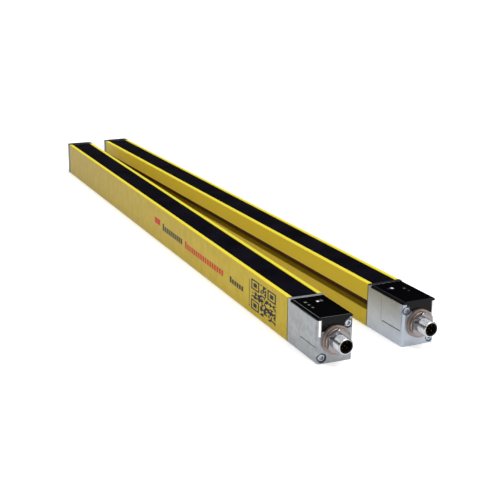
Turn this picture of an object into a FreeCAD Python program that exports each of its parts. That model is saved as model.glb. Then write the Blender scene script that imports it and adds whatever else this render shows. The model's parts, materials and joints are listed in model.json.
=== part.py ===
import FreeCAD, Part

import math
import os

import Sketcher
from FreeCAD import Placement, Rotation, Vector

# A safety light curtain: a receiver bar and a transmitter bar that face the same way up.
# Both bars lie on their backs with the front windows up and the connectors towards -Y.
# Each bar is an extruded housing with a die-cast connection cap at its near end and a plain
# cap at its far end. The two bars are mirror images, so that their side slots face apart.
# Origin: middle of the receiver's back face, half way along its housing. +Z points the way
# the windows look, and +Y runs from the connectors to the far ends.

SIZES = [
    # overall
    ("HousingLength", 666.0, "end face of the connection cap to end face of the far cap"),
    ("ProfileWidth", 29.0, "housing width"),
    ("ProfileHeight", 35.4, "housing depth, back face to lips"),
    # extruded profile
    ("ProfileWall", 1.8, "wall of the extrusion"),
    ("LipWidth", 3.8, "front lip beside the window"),
    ("LipThickness", 1.5, "front lip"),
    ("GrooveWall", 2.1, "wall left outside the window groove"),
    ("GrooveHeight", 1.7, "window groove"),
    ("LedgeWidth", 3.6, "ledge that carries the window, from the outside"),
    ("LedgeThickness", 1.2, "ledge that carries the window"),
    ("BackCornerRadius", 1.2, "long back edges"),
    ("LipEdgeRadius", 0.6, "long outer edges of the lips"),
    # side slot for sliding nuts
    ("SlotHeight", 17.7, "centre of the slot above the back face"),
    ("SlotMouth", 8.2, "mouth of the slot"),
    ("SlotMouthDepth", 1.8, "thickness of the slot's two cheeks"),
    ("SlotChamber", 12.2, "chamber behind the cheeks"),
    ("SlotChamberDepth", 3.6, "chamber, cheeks to floor"),
    ("SlotWall", 1.4, "wall round the chamber"),
    # screw channels at two opposite corners
    ("ScrewInset", 3.9, "channel axis from the side face"),
    ("BackScrewHeight", 4.5, "axis of the channel near the back face"),
    ("FrontScrewDrop", 7.0, "axis of the other channel below the lips"),
    ("ChannelWeb", 2.8, "half width of the square web about each channel"),
    ("ThreadPlay", 0.05, "screw thread in its channel, on the radius"),
    # board rails
    ("BoardHeight", 7.7, "underside of the main board above the back face"),
    ("BoardThickness", 1.6, "main board"),
    ("BoardPlay", 0.2, "board in its rails, across the thickness"),
    ("RailDepth", 1.4, "rails inside the walls"),
    ("RailThickness", 1.0, "each rail"),
    # front window
    ("WindowPlay", 0.1, "window in its groove, each side"),
    ("WindowRecess", 0.4, "window face below the lips"),
    # connection cap
    ("CapLength", 48.5, "connection cap"),
    ("CapWall", 2.2, "connection cap"),
    ("CapEndWall", 4.2, "end wall behind the boss"),
    ("CapCollar", 3.6, "bare metal band beside the profile"),
    ("CapEdgeRadius", 2.5, "upright edges of the end face"),
    ("CapBackBevel", 0.7, "long back edges of both caps"),
    ("PanelLength", 28.6, "raised side panel, from the end face"),
    ("PanelFoot", 12.6, "lower edge of the side panel"),
    ("PanelRise", 0.35, "side panel above the wall"),
    ("PanelRadius", 3.0, "inner lower corner of the side panel"),
    ("PocketRadius", 3.75, "pocket round each cap screw"),
    ("PocketDepth", 2.6, "pocket round each cap screw"),
    ("ScrewPost", 2.6, "half width of the square post round each cap screw"),
    ("ScrewPlay", 0.2, "screw shank in its clearance hole, on the radius"),
    ("BossRadius", 11.2, "round boss on the end face"),
    ("BossRise", 2.4, "boss above the end face"),
    # display cover
    ("CoverThickness", 2.0, "display cover"),
    ("CoverFoot", 24.4, "lower end of the leg on the end face"),
    ("CoverLegWidth", 22.6, "leg on the end face"),
    ("CoverBevel", 1.3, "bevel along the long edges"),
    ("CoverCornerRadius", 1.2, "upright corners of the cover"),
    ("CoverGap", 0.15, "cover to the boss"),
    ("DisplayMargin", 5.0, "opening under the cover, from each side"),
    # far cap and gaskets
    ("FarCapLength", 9.0, "far cap"),
    ("FarPocketHalf", 3.2, "half width of the square pocket for each screw head in the far cap"),
    ("FarPocketDepth", 2.3, "pocket for each screw head in the far cap"),
    ("GasketThickness", 1.1, "gasket at each end of the profile"),
    ("GasketInset", 0.35, "gasket edge inside the housing outline"),
    # fasteners
    ("ScrewRadius", 1.5, "cap screw"),
    ("ScrewHeadRadius", 2.8, "cap screw head"),
    ("ScrewHeadHeight", 2.0, "cap screw head"),
    ("ScrewGrip", 9.0, "thread length in the profile"),
    # connector
    ("ConnectorRadius", 6.0, "threaded sleeve of the plug connector"),
    ("ConnectorReach", 16.5, "mouth of the sleeve from the end face"),
    ("SleeveBore", 5.2, "radius of the sleeve's bore"),
    ("HexHalf", 8.5, "half the width across flats of the hexagon"),
    ("HexThickness", 2.6, "hexagon"),
    ("WasherRadius", 9.4, "sealing washer between the hexagon and the boss"),
    ("WasherThickness", 1.4, "sealing washer between the hexagon and the boss"),
    ("ShankHalf", 6.0, "half width of the eight-sided shank through the end wall"),
    ("ShankPlay", 0.1, "shank in the opening of the boss, all round"),
    ("InsertDepth", 9.2, "face of the contact carrier behind the sleeve's mouth"),
    ("InsertTail", 1.4, "contact carrier behind the shank"),
    ("ShankTail", 0.6, "shank behind the end wall"),
    ("PinRadius", 0.5, "contact pin, half its width"),
    ("RingPinCount", 4.0, "pins round the middle one"),
    ("PinCircle", 2.75, "radius of the pin circle"),
    ("PinReach", 7.0, "pins out of the contact carrier's face"),
    ("PinTail", 2.0, "pin tails behind the carrier"),
    # optics and electronics
    ("BeamPitch", 50.0, "distance between beams"),
    ("BeamMargin", 25.0, "least distance from a beam to the end of the profile"),
    ("CarrierGap", 1.2, "optics carrier to the wall of the slot"),
    ("TubeWall", 2.2, "optics carrier beside its light tubes"),
    ("TubeLength", 12.0, "light tube, along"),
    ("CarrierEndWall", 2.0, "carrier beyond its outer light tubes"),
    ("BoardEndGap", 0.5, "main board from each end of the profile"),
    ("LensPlate", 1.0, "edge of the lens row"),
    ("LensRise", 0.7, "crown of the lens row above its edge"),
    ("LensGap", 1.8, "lens row to the window"),
    ("DiodeSize", 3.2, "optical diode"),
    ("DiodeHeight", 1.9, "optical diode"),
    ("DisplayBoardWidth", 20.0, "display board"),
    ("DisplayBoardLength", 33.0, "display board"),
    ("DisplayBoardThickness", 1.2, "display board"),
    ("DisplayBoardStart", 7.5, "display board from the end face"),
    ("LampSize", 1.8, "small indicator lamp"),
    ("LampPitch", 6.1, "small indicator lamps"),
    ("LampLine", 6.9, "line of the small lamps from the centre"),
    ("FarLamp", 34.0, "farthest small lamp from the end face"),
    ("LampCount", 3.0, "small indicator lamps"),
    ("DigitWidth", 5.0, "digit display, across"),
    ("DigitLength", 6.6, "digit display, along"),
    ("DigitLine", 4.2, "digit display from the centre"),
    ("LeadBoardWidth", 9.0, "lead board behind the connector"),
    ("LeadBoardThickness", 1.0, "lead board behind the connector"),
    ("RibbonWidth", 7.0, "ribbon from the display board to the main board"),
    ("RibbonThickness", 0.4, "ribbon"),
    ("RibbonInset", 1.5, "ribbon from the end of the display board and from the carrier"),
    ("RibbonLap", 3.0, "ribbon flat on the main board"),
    ("RibbonLift", 3.0, "height of the ribbon's fold above the main board"),
    # layout of the pair
    ("PairSpacing", 74.0, "receiver to transmitter at the connector ends, centre to centre"),
    ("PairStagger", 6.0, "transmitter set back along the bars"),
    ("PairSplay", 2.3, "angle between the two bars, in degrees"),
]

doc = FreeCAD.newDocument("LightCurtain")
sheet = doc.addObject("Spreadsheet::Sheet", "Sizes")
for row, (alias, value, note) in enumerate(SIZES, start=1):
    sheet.set(f"A{row}", note)
    sheet.set(f"B{row}", str(value))
    sheet.setAlias(f"B{row}", alias)
doc.recompute()

ALONG_Y = Vector(0, 1, 0)
ALONG_Z = Vector(0, 0, 1)
HEXAGON_SIDES = 6
OCTAGON_SIDES = 8

# Places along a bar, measured from the end face of its connection cap.
PROFILE_START = "(Sizes.CapLength + Sizes.GasketThickness)"
PROFILE_END = "(Sizes.HousingLength - Sizes.FarCapLength - Sizes.GasketThickness)"
PROFILE_LENGTH = f"({PROFILE_END} - {PROFILE_START})"
# Heights and half widths of the section.
HALF_WIDTH = "(Sizes.ProfileWidth / 2)"
INNER_HALF = f"({HALF_WIDTH} - Sizes.ProfileWall)"
LIP_HALF = f"({HALF_WIDTH} - Sizes.LipWidth)"
GROOVE_HALF = f"({HALF_WIDTH} - Sizes.GrooveWall)"
LEDGE_HALF = f"({HALF_WIDTH} - Sizes.LedgeWidth)"
GROOVE_TOP = "(Sizes.ProfileHeight - Sizes.LipThickness)"
GROOVE_FLOOR = f"({GROOVE_TOP} - Sizes.GrooveHeight)"
LEDGE_FOOT = f"({GROOVE_FLOOR} - Sizes.LedgeThickness)"
SCREW_SIDE = f"({HALF_WIDTH} - Sizes.ScrewInset)"
FRONT_SCREW = "(Sizes.ProfileHeight - Sizes.FrontScrewDrop)"
CONNECTOR_HEIGHT = "(Sizes.ProfileHeight / 2)"
BOARD_TOP = "(Sizes.BoardHeight + Sizes.BoardThickness)"
SLOT_BACK = f"({HALF_WIDTH} - Sizes.SlotMouthDepth - Sizes.SlotChamberDepth - Sizes.SlotWall)"
CARRIER_HALF = f"({SLOT_BACK} - Sizes.CarrierGap)"
TUBE_HALF = f"({CARRIER_HALF} - Sizes.TubeWall)"
CARRIER_TOP = f"({GROOVE_FLOOR} - Sizes.LensGap - Sizes.LensRise - Sizes.LensPlate)"
COVER_SEAT = "(Sizes.ProfileHeight - Sizes.CoverThickness)"
COVER_END = "(Sizes.CapLength - Sizes.CapCollar)"
CAP_ROOF = f"({COVER_SEAT} - Sizes.CapWall / 2)"
DISPLAY_BOARD_FOOT = f"({CAP_ROOF} - Sizes.DisplayBoardThickness)"
FAR_SEAT = "(Sizes.HousingLength - Sizes.FarPocketDepth)"
# Beams: as many as fit the profile, centred along it.
BEAM_COUNT = f"(floor(({PROFILE_LENGTH} - 2 * Sizes.BeamMargin) / Sizes.BeamPitch) + 1)"
BEAM_SPAN = f"(({BEAM_COUNT} - 1) * Sizes.BeamPitch)"
FIRST_BEAM = f"({PROFILE_START} + ({PROFILE_LENGTH} - {BEAM_SPAN}) / 2)"
CARRIER_START = f"({FIRST_BEAM} - Sizes.TubeLength / 2 - Sizes.CarrierEndWall)"
CARRIER_LENGTH = f"({BEAM_SPAN} + Sizes.TubeLength + 2 * Sizes.CarrierEndWall)"
# Faces of the connector, towards -Y.
BOSS_FACE = "(-Sizes.BossRise)"
HEX_BACK = f"({BOSS_FACE} - Sizes.WasherThickness)"
HEX_FRONT = f"({HEX_BACK} - Sizes.HexThickness)"
SHANK_END = "(Sizes.CapEndWall + Sizes.ShankTail)"
INSERT_FACE = "(Sizes.InsertDepth - Sizes.ConnectorReach)"
INSERT_END = f"({SHANK_END} + Sizes.InsertTail)"
LEAD_BOARD = f"({INSERT_END} + Sizes.PinTail)"


def size(expression):
    """Value of an expression of the sheet, in millimetres or degrees."""
    return float(sheet.evalExpression(expression))


def turned(expression, hand):
    """The expression on the +X side for hand 1 and on the -X side for hand -1."""
    return expression if hand > 0 else f"(-1 * {expression})"


def new_body(label):
    """An empty body with the given label."""
    body = doc.addObject("PartDesign::Body", label)
    body.Label = label
    return body


def new_sketch(body, name, plane, place):
    """A sketch on one of the body's origin planes, moved along the plane's normal by place."""
    sketch = body.newObject("Sketcher::SketchObject", name)
    support = [item for item in body.Origin.OriginFeatures if item.Role == plane][0]
    sketch.AttachmentSupport = [(support, "")]
    sketch.MapMode = "FlatFace"
    sketch.setExpression("AttachmentOffset.Base.z", place)
    return sketch


def section_sketch(body, name, place="0"):
    """A sketch across the bar at the given distance along +Y: its axes are X and Z."""
    return new_sketch(body, name, "XZ_Plane", f"-1 * ({place})")


def level_sketch(body, name, height):
    """A sketch at the given height: its axes are X and Y."""
    return new_sketch(body, name, "XY_Plane", height)


def side_sketch(body, name, place):
    """A sketch seen along X at the given distance along +X: its axes are Y and Z."""
    return new_sketch(body, name, "YZ_Plane", place)


def hold(sketch, kind, first, second, expression):
    """Adds a driving distance or radius bound to the sheet."""
    arguments = [kind, *first, *second, size(expression)]
    index = sketch.addConstraint(Sketcher.Constraint(*arguments))
    name = f"{kind}{index}"
    sketch.renameConstraint(index, name)
    sketch.setExpression(f"Constraints.{name}", expression)


def outline(sketch, points):
    """A closed outline of straight edges through points given as pairs of expressions."""
    start = sketch.GeometryCount
    corners = [Vector(size(across), size(up), 0) for across, up in points]
    for corner, following in zip(corners, corners[1:] + corners[:1]):
        sketch.addGeometry(Part.LineSegment(corner, following))
    for index, (across, up) in enumerate(points):
        following = start + (index + 1) % len(points)
        sketch.addConstraint(Sketcher.Constraint("Coincident", start + index, 2, following, 1))
        hold(sketch, "DistanceX", (-1, 1), (start + index, 1), across)
        hold(sketch, "DistanceY", (-1, 1), (start + index, 1), up)


def rectangle(sketch, left, right, bottom, top):
    """A rectangle between two places across and two places up."""
    outline(sketch, [(left, bottom), (right, bottom), (right, top), (left, top)])


def circle(sketch, across, up, radius):
    """A circle about a point."""
    index = sketch.addGeometry(Part.Circle(Vector(size(across), size(up), 0), Vector(0, 0, 1), size(radius)))
    hold(sketch, "DistanceX", (-1, 1), (index, 3), across)
    hold(sketch, "DistanceY", (-1, 1), (index, 3), up)
    hold(sketch, "Radius", (index,), (), radius)


def polygon(sketch, sides, across, up, half):
    """A regular polygon with a flat on top, given half its width across flats."""
    reach = 1.0 / math.cos(math.pi / sides)
    points = []
    for corner in range(sides):
        angle = math.pi * (0.5 + (2 * corner + 1) / sides)
        points.append((
            f"{across} + ({half}) * {reach * math.cos(angle):.6f}",
            f"{up} + ({half}) * {reach * math.sin(angle):.6f}",
        ))
    outline(sketch, points)


def octagons(sketch, places, half):
    """An octagon of one size about each place."""
    for across, up in places:
        polygon(sketch, OCTAGON_SIDES, across, up, half)


def squares(sketch, places, half):
    """A square of one size about each place."""
    for across, up in places:
        rectangle(sketch, f"{across} - {half}", f"{across} + {half}", f"{up} - {half}", f"{up} + {half}")


def pad(body, sketch, length, reverse=False):
    """Adds the sketched area, drawn out along the sketch's normal or against it."""
    feature = body.newObject("PartDesign::Pad", sketch.Name + "Pad")
    feature.Profile = sketch
    feature.setExpression("Length", length)
    feature.Reversed = reverse
    doc.recompute()
    return feature


def pocket(body, sketch, length, reverse=False):
    """Cuts the sketched area, against the sketch's normal unless reversed."""
    before = body.Shape.Volume
    feature = body.newObject("PartDesign::Pocket", sketch.Name + "Cut")
    feature.Profile = sketch
    feature.setExpression("Length", length)
    feature.Reversed = reverse
    doc.recompute()
    if not feature.Shape.Volume < before:
        raise RuntimeError(f"{feature.Name} in {body.Label} cuts nothing")
    return feature


def pad_along(body, sketch, length):
    """Adds the section, drawn out towards +Y."""
    return pad(body, sketch, length, reverse=True)


def cut_along(body, sketch, length):
    """Cuts the section, towards +Y."""
    return pocket(body, sketch, length)


def edges_at(shape, direction, places):
    """Names of the straight edges along a direction that pass through given places."""
    names = []
    for index, edge in enumerate(shape.Edges, start=1):
        if edge.Curve.TypeId != "Part::GeomLine":
            continue
        if abs(abs(edge.Curve.Direction.dot(direction)) - 1.0) > 1e-6:
            continue
        if any(edge.distToShape(Part.Vertex(place))[0] < 1e-4 for place in places):
            names.append(f"Edge{index}")
    return names


def dress_edges(body, kind, name, edges, measure, expression):
    """Rounds or bevels straight edges, given as a direction and places that they pass through."""
    base = body.Tip
    feature = body.newObject(kind, name)
    feature.Base = (base, edges_at(base.Shape, *edges))
    feature.setExpression(measure, expression)
    doc.recompute()
    return feature


def round_edges(body, name, direction, places, radius):
    """Rounds the straight edges along a direction that pass through given places."""
    return dress_edges(body, "PartDesign::Fillet", name, (direction, places), "Radius", radius)


def bevel_edges(body, name, direction, places, width):
    """Bevels the straight edges along a direction that pass through given places."""
    return dress_edges(body, "PartDesign::Chamfer", name, (direction, places), "Size", width)


def mirrored_outline(right_side):
    """An outline made of its right side, bottom to top, and the mirror image of it."""
    left_side = [(f"(-1 * {across})", up) for across, up in reversed(right_side)]
    return right_side + left_side


def screw_places(hand):
    """The two opposite corners that carry screws: in front on the slot's side, and at the back."""
    return [
        (turned(SCREW_SIDE, hand), FRONT_SCREW),
        (turned(SCREW_SIDE, -hand), "Sizes.BackScrewHeight"),
    ]


def circles(sketch, places, radius):
    """A circle of one radius about each place."""
    for across, up in places:
        circle(sketch, across, up, radius)


def housing_profile(label, hand):
    """Extruded housing: window grooves, a side slot, board rails and two screw channels."""
    body = new_body(label)
    section = section_sketch(body, "Section", PROFILE_START)
    outline(section, mirrored_outline([
        (HALF_WIDTH, "0"),
        (HALF_WIDTH, "Sizes.ProfileHeight"),
        (LIP_HALF, "Sizes.ProfileHeight"),
        (LIP_HALF, GROOVE_TOP),
        (GROOVE_HALF, GROOVE_TOP),
        (GROOVE_HALF, GROOVE_FLOOR),
        (LEDGE_HALF, GROOVE_FLOOR),
        (LEDGE_HALF, LEDGE_FOOT),
        (INNER_HALF, LEDGE_FOOT),
        (INNER_HALF, "Sizes.ProfileWall"),
    ]))
    pad_along(body, section, PROFILE_LENGTH)

    cheek = f"({HALF_WIDTH} - Sizes.SlotMouthDepth)"
    floor = f"({cheek} - Sizes.SlotChamberDepth)"
    web_root = turned(f"({HALF_WIDTH} - Sizes.ProfileWall / 2)", hand)
    web_end = turned(SLOT_BACK, hand)
    web_half = "(Sizes.SlotChamber / 2 + Sizes.SlotWall)"
    web = section_sketch(body, "SlotWeb", PROFILE_START)
    rectangle(web, web_root, web_end, f"Sizes.SlotHeight - {web_half}", f"Sizes.SlotHeight + {web_half}")
    pad_along(body, web, PROFILE_LENGTH)

    webs = section_sketch(body, "ChannelWebs", PROFILE_START)
    squares(webs, screw_places(hand), "Sizes.ChannelWeb")
    pad_along(body, webs, PROFILE_LENGTH)

    rails = section_sketch(body, "BoardRails", PROFILE_START)
    upper_rail = f"({BOARD_TOP} + Sizes.BoardPlay)"
    for side in (1, -1):
        root = turned(f"({HALF_WIDTH} - Sizes.ProfileWall / 2)", side)
        end = turned(f"({INNER_HALF} - Sizes.RailDepth)", side)
        rectangle(rails, root, end, "Sizes.BoardHeight - Sizes.RailThickness", "Sizes.BoardHeight")
        rectangle(rails, root, end, upper_rail, f"{upper_rail} + Sizes.RailThickness")
    pad_along(body, rails, PROFILE_LENGTH)

    slot = section_sketch(body, "SideSlot", PROFILE_START)
    mouth = "(Sizes.SlotMouth / 2)"
    chamber = "(Sizes.SlotChamber / 2)"
    outline(slot, [
        (turned(HALF_WIDTH, hand), f"Sizes.SlotHeight - {mouth}"),
        (turned(HALF_WIDTH, hand), f"Sizes.SlotHeight + {mouth}"),
        (turned(cheek, hand), f"Sizes.SlotHeight + {mouth}"),
        (turned(cheek, hand), f"Sizes.SlotHeight + {chamber}"),
        (turned(floor, hand), f"Sizes.SlotHeight + {chamber}"),
        (turned(floor, hand), f"Sizes.SlotHeight - {chamber}"),
        (turned(cheek, hand), f"Sizes.SlotHeight - {chamber}"),
        (turned(cheek, hand), f"Sizes.SlotHeight - {mouth}"),
    ])
    cut_along(body, slot, PROFILE_LENGTH)

    bores = section_sketch(body, "ChannelBores", PROFILE_START)
    octagons(bores, screw_places(hand), "Sizes.ScrewRadius + Sizes.ThreadPlay")
    cut_along(body, bores, PROFILE_LENGTH)

    middle = f"({PROFILE_START} + {PROFILE_END}) / 2"
    round_edges(body, "BackCorners", ALONG_Y, both_sides(middle, "0"), "Sizes.BackCornerRadius")
    front = both_sides(middle, "Sizes.ProfileHeight")
    round_edges(body, "LipEdges", ALONG_Y, front, "Sizes.LipEdgeRadius")
    return body


def front_window(label, _hand):
    """Window strip with a rebate along both edges, which slides into the profile's grooves."""
    body = new_body(label)
    section = section_sketch(body, "Section", PROFILE_START)
    flange = f"({GROOVE_HALF} - Sizes.WindowPlay)"
    rebate = f"({GROOVE_TOP} - Sizes.WindowPlay)"
    face_half = f"({LIP_HALF} - Sizes.WindowPlay)"
    outline(section, mirrored_outline([
        (flange, GROOVE_FLOOR),
        (flange, rebate),
        (face_half, rebate),
        (face_half, "(Sizes.ProfileHeight - Sizes.WindowRecess)"),
    ]))
    pad_along(body, section, PROFILE_LENGTH)
    return body


def side_panel(body, name, side):
    """Raised panel on one side of the cap, from the end face, with its inner corner rounded."""
    sketch = side_sketch(body, name, turned(f"({HALF_WIDTH} - Sizes.CapWall / 2)", side))
    start = "Sizes.CapEdgeRadius"
    corner_along = "(Sizes.PanelLength - Sizes.PanelRadius)"
    corner_up = "(Sizes.PanelFoot + Sizes.PanelRadius)"
    straights = [
        (corner_along, "Sizes.PanelFoot"),
        (start, "Sizes.PanelFoot"),
        (start, COVER_SEAT),
        ("Sizes.PanelLength", COVER_SEAT),
        ("Sizes.PanelLength", corner_up),
    ]
    places = [Vector(size(along), size(up), 0) for along, up in straights]
    lines = [sketch.addGeometry(Part.LineSegment(a, b)) for a, b in zip(places, places[1:])]
    centre = Vector(size(corner_along), size(corner_up), 0)
    full_circle = Part.Circle(centre, Vector(0, 0, 1), size("Sizes.PanelRadius"))
    corner = sketch.addGeometry(Part.ArcOfCircle(full_circle, -math.pi / 2, 0))
    for line, following in zip(lines, lines[1:]):
        sketch.addConstraint(Sketcher.Constraint("Coincident", line, 2, following, 1))
    for line, (along, up) in zip(lines, straights):
        hold(sketch, "DistanceX", (-1, 1), (line, 1), along)
        hold(sketch, "DistanceY", (-1, 1), (line, 1), up)
    sketch.addConstraint(Sketcher.Constraint("Vertical", lines[-1]))
    sketch.addConstraint(Sketcher.Constraint("Tangent", corner, 1, lines[0], 1))
    sketch.addConstraint(Sketcher.Constraint("Tangent", corner, 2, lines[-1], 2))
    pad(body, sketch, "Sizes.CapWall / 2 + Sizes.PanelRise", reverse=side < 0)


def connection_cap(label, hand):
    """Die-cast cap: a hollow box with side panels, a round boss, screw tubes and a cover seat."""
    body = new_body(label)
    block = section_sketch(body, "Block")
    rectangle(block, f"(-1 * {HALF_WIDTH})", HALF_WIDTH, "0", "Sizes.ProfileHeight")
    pad_along(body, block, "Sizes.CapLength")
    back = both_sides("Sizes.CapLength / 2", "0")
    bevel_edges(body, "BackCorners", ALONG_Y, back, "Sizes.CapBackBevel")
    uprights = both_sides("0", "Sizes.ProfileHeight / 2")
    round_edges(body, "EndUprights", ALONG_Z, uprights, "Sizes.CapEdgeRadius")
    side_panel(body, "RightPanel", 1)
    side_panel(body, "LeftPanel", -1)

    seat = side_sketch(body, "CoverSeat", f"({HALF_WIDTH} + Sizes.PanelRise)")
    rectangle(seat, "0", COVER_END, COVER_SEAT, "Sizes.ProfileHeight")
    pocket(body, seat, "Sizes.ProfileWidth + 2 * Sizes.PanelRise")
    leg = section_sketch(body, "LegSeat")
    outline(leg, leg_outline(hand))
    cut_along(body, leg, "Sizes.CoverThickness")

    boss = section_sketch(body, "Boss", BOSS_FACE)
    circle(boss, "0", CONNECTOR_HEIGHT, "Sizes.BossRadius")
    pad_along(body, boss, "Sizes.BossRise + (Sizes.CapEndWall + Sizes.CoverThickness) / 2")

    hollow = section_sketch(body, "Hollow", "Sizes.CapEndWall")
    inner = f"({HALF_WIDTH} - Sizes.CapWall)"
    rectangle(hollow, f"(-1 * {inner})", inner, "Sizes.CapWall", CAP_ROOF)
    cut_along(body, hollow, "Sizes.CapLength - Sizes.CapEndWall")
    posts = section_sketch(body, "ScrewPosts", "Sizes.CapEndWall")
    squares(posts, screw_places(hand), "Sizes.ScrewPost")
    pad_along(body, posts, "Sizes.CapLength - Sizes.CapEndWall")

    opening = level_sketch(body, "DisplayOpening", COVER_SEAT)
    edge = f"({HALF_WIDTH} - Sizes.DisplayMargin)"
    near_edge = "Sizes.DisplayBoardStart + Sizes.CapWall / 2"
    far_edge = "Sizes.DisplayBoardStart + Sizes.DisplayBoardLength - Sizes.CapWall / 2"
    rectangle(opening, f"(-1 * {edge})", edge, near_edge, far_edge)
    pocket(body, opening, "Sizes.CapWall / 2")

    bore = section_sketch(body, "ConnectorBore", BOSS_FACE)
    octagons(bore, [("0", CONNECTOR_HEIGHT)], "Sizes.ShankHalf + Sizes.ShankPlay")
    cut_along(body, bore, "Sizes.BossRise + Sizes.CapEndWall")
    pockets = section_sketch(body, "ScrewPockets")
    circles(pockets, screw_places(hand), "Sizes.PocketRadius")
    cut_along(body, pockets, "Sizes.PocketDepth")
    holes = section_sketch(body, "ScrewHoles")
    octagons(holes, screw_places(hand), "Sizes.ScrewRadius + Sizes.ScrewPlay")
    cut_along(body, holes, "Sizes.CapLength")
    return body


def display_cover(label, hand):
    """Dark cover of the display: a bevelled top plate and a leg that goes down to the boss."""
    body = new_body(label)
    plate = side_sketch(body, "Plate", f"(-1 * {HALF_WIDTH})")
    rectangle(plate, "0", COVER_END, COVER_SEAT, "Sizes.ProfileHeight")
    pad(body, plate, "Sizes.ProfileWidth")
    long_edges = both_sides("Sizes.CapLength / 2", "Sizes.ProfileHeight")
    bevel_edges(body, "Bevel", ALONG_Y, long_edges, "Sizes.CoverBevel")
    uprights = both_sides("0", f"{COVER_SEAT} + (Sizes.CoverThickness - Sizes.CoverBevel) / 2")
    round_edges(body, "Uprights", ALONG_Z, uprights, "Sizes.CoverCornerRadius")
    leg = section_sketch(body, "Leg")
    outline(leg, leg_outline(hand))
    pad_along(body, leg, "Sizes.CoverThickness")

    boss = section_sketch(body, "BossClearance")
    circle(boss, "0", CONNECTOR_HEIGHT, "Sizes.BossRadius + Sizes.CoverGap")
    cut_along(body, boss, "Sizes.CoverThickness")
    notch = section_sketch(body, "ScrewNotch")
    circles(notch, screw_places(hand)[:1], "Sizes.PocketRadius")
    cut_along(body, notch, "Sizes.CoverThickness")
    return body


def leg_outline(hand):
    """Outline of the cover's leg: it stops short of the screw pocket on the slot's side."""
    half = "(Sizes.CoverLegWidth / 2)"
    beside_pocket = turned(f"({SCREW_SIDE} - Sizes.PocketRadius)", hand)
    return [
        (turned(half, -hand), "Sizes.CoverFoot"),
        (beside_pocket, "Sizes.CoverFoot"),
        (beside_pocket, FRONT_SCREW),
        (turned(half, hand), FRONT_SCREW),
        (turned(half, hand), COVER_SEAT),
        (turned(half, -hand), COVER_SEAT),
    ]


def gasket(label, hand, place):
    """Flat gasket between the profile and a cap, with an ear round each screw."""
    body = new_body(label)
    frame = section_sketch(body, "Frame", place)
    outer = f"({HALF_WIDTH} - Sizes.GasketInset)"
    top = "Sizes.ProfileHeight - Sizes.GasketInset"
    rectangle(frame, f"(-1 * {outer})", outer, "Sizes.GasketInset", top)
    rectangle(frame, f"(-1 * {INNER_HALF})", INNER_HALF, "Sizes.ProfileWall", LEDGE_FOOT)
    pad_along(body, frame, "Sizes.GasketThickness")
    ears = section_sketch(body, "Ears", place)
    squares(ears, screw_places(hand), "Sizes.ChannelWeb")
    pad_along(body, ears, "Sizes.GasketThickness")
    holes = section_sketch(body, "Holes", place)
    octagons(holes, screw_places(hand), "Sizes.ScrewRadius + Sizes.ScrewPlay")
    cut_along(body, holes, "Sizes.GasketThickness")
    return body


def cap_gasket(label, hand):
    """Gasket at the connection cap."""
    return gasket(label, hand, "Sizes.CapLength")


def far_gasket(label, hand):
    """Gasket at the far cap."""
    return gasket(label, hand, PROFILE_END)


def far_cap(label, hand):
    """Plain solid cap at the far end, with a pocket for the head of each screw."""
    body = new_body(label)
    start = "(Sizes.HousingLength - Sizes.FarCapLength)"
    block = section_sketch(body, "Block", start)
    rectangle(block, f"(-1 * {HALF_WIDTH})", HALF_WIDTH, "0", "Sizes.ProfileHeight")
    pad_along(body, block, "Sizes.FarCapLength")
    back = both_sides(f"{start} + Sizes.FarCapLength / 2", "0")
    bevel_edges(body, "BackCorners", ALONG_Y, back, "Sizes.CapBackBevel")
    uprights = both_sides("Sizes.HousingLength", "Sizes.ProfileHeight / 2")
    round_edges(body, "EndUprights", ALONG_Z, uprights, "Sizes.CapEdgeRadius")
    holes = section_sketch(body, "ScrewHoles", start)
    octagons(holes, screw_places(hand), "Sizes.ScrewRadius + Sizes.ScrewPlay")
    cut_along(body, holes, "Sizes.FarCapLength")
    heads = section_sketch(body, "HeadPockets", FAR_SEAT)
    squares(heads, screw_places(hand), "Sizes.FarPocketHalf")
    cut_along(body, heads, "Sizes.FarPocketDepth")
    return body


def screws(label, places, seat, inward, length):
    """Cap screws: a round head and an eight-sided stand-in for the thread."""
    body = new_body(label)
    head_start = seat if inward < 0 else f"{seat} - Sizes.ScrewHeadHeight"
    heads = section_sketch(body, "Heads", head_start)
    circles(heads, places, "Sizes.ScrewHeadRadius")
    pad_along(body, heads, "Sizes.ScrewHeadHeight")
    shank_start = seat if inward > 0 else f"{seat} - {length}"
    shanks = section_sketch(body, "Shanks", shank_start)
    octagons(shanks, places, "Sizes.ScrewRadius")
    pad_along(body, shanks, length)
    return body


def cap_screws(label, hand):
    """Two long screws that hold the connection cap."""
    length = f"({PROFILE_START} + Sizes.ScrewGrip - Sizes.PocketDepth)"
    return screws(label, screw_places(hand), "Sizes.PocketDepth", 1, length)


def far_cap_screws(label, hand):
    """Two short screws that hold the far cap."""
    length = f"({FAR_SEAT} - {PROFILE_END} + Sizes.ScrewGrip)"
    return screws(label, screw_places(hand), FAR_SEAT, -1, length)


def ring(body, name, start, outer, inner, length):
    """Adds a round tube about the connector's axis, drawn out towards +Y."""
    section = section_sketch(body, name, start)
    circle(section, "0", CONNECTOR_HEIGHT, outer)
    circle(section, "0", CONNECTOR_HEIGHT, inner)
    pad_along(body, section, length)


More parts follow.
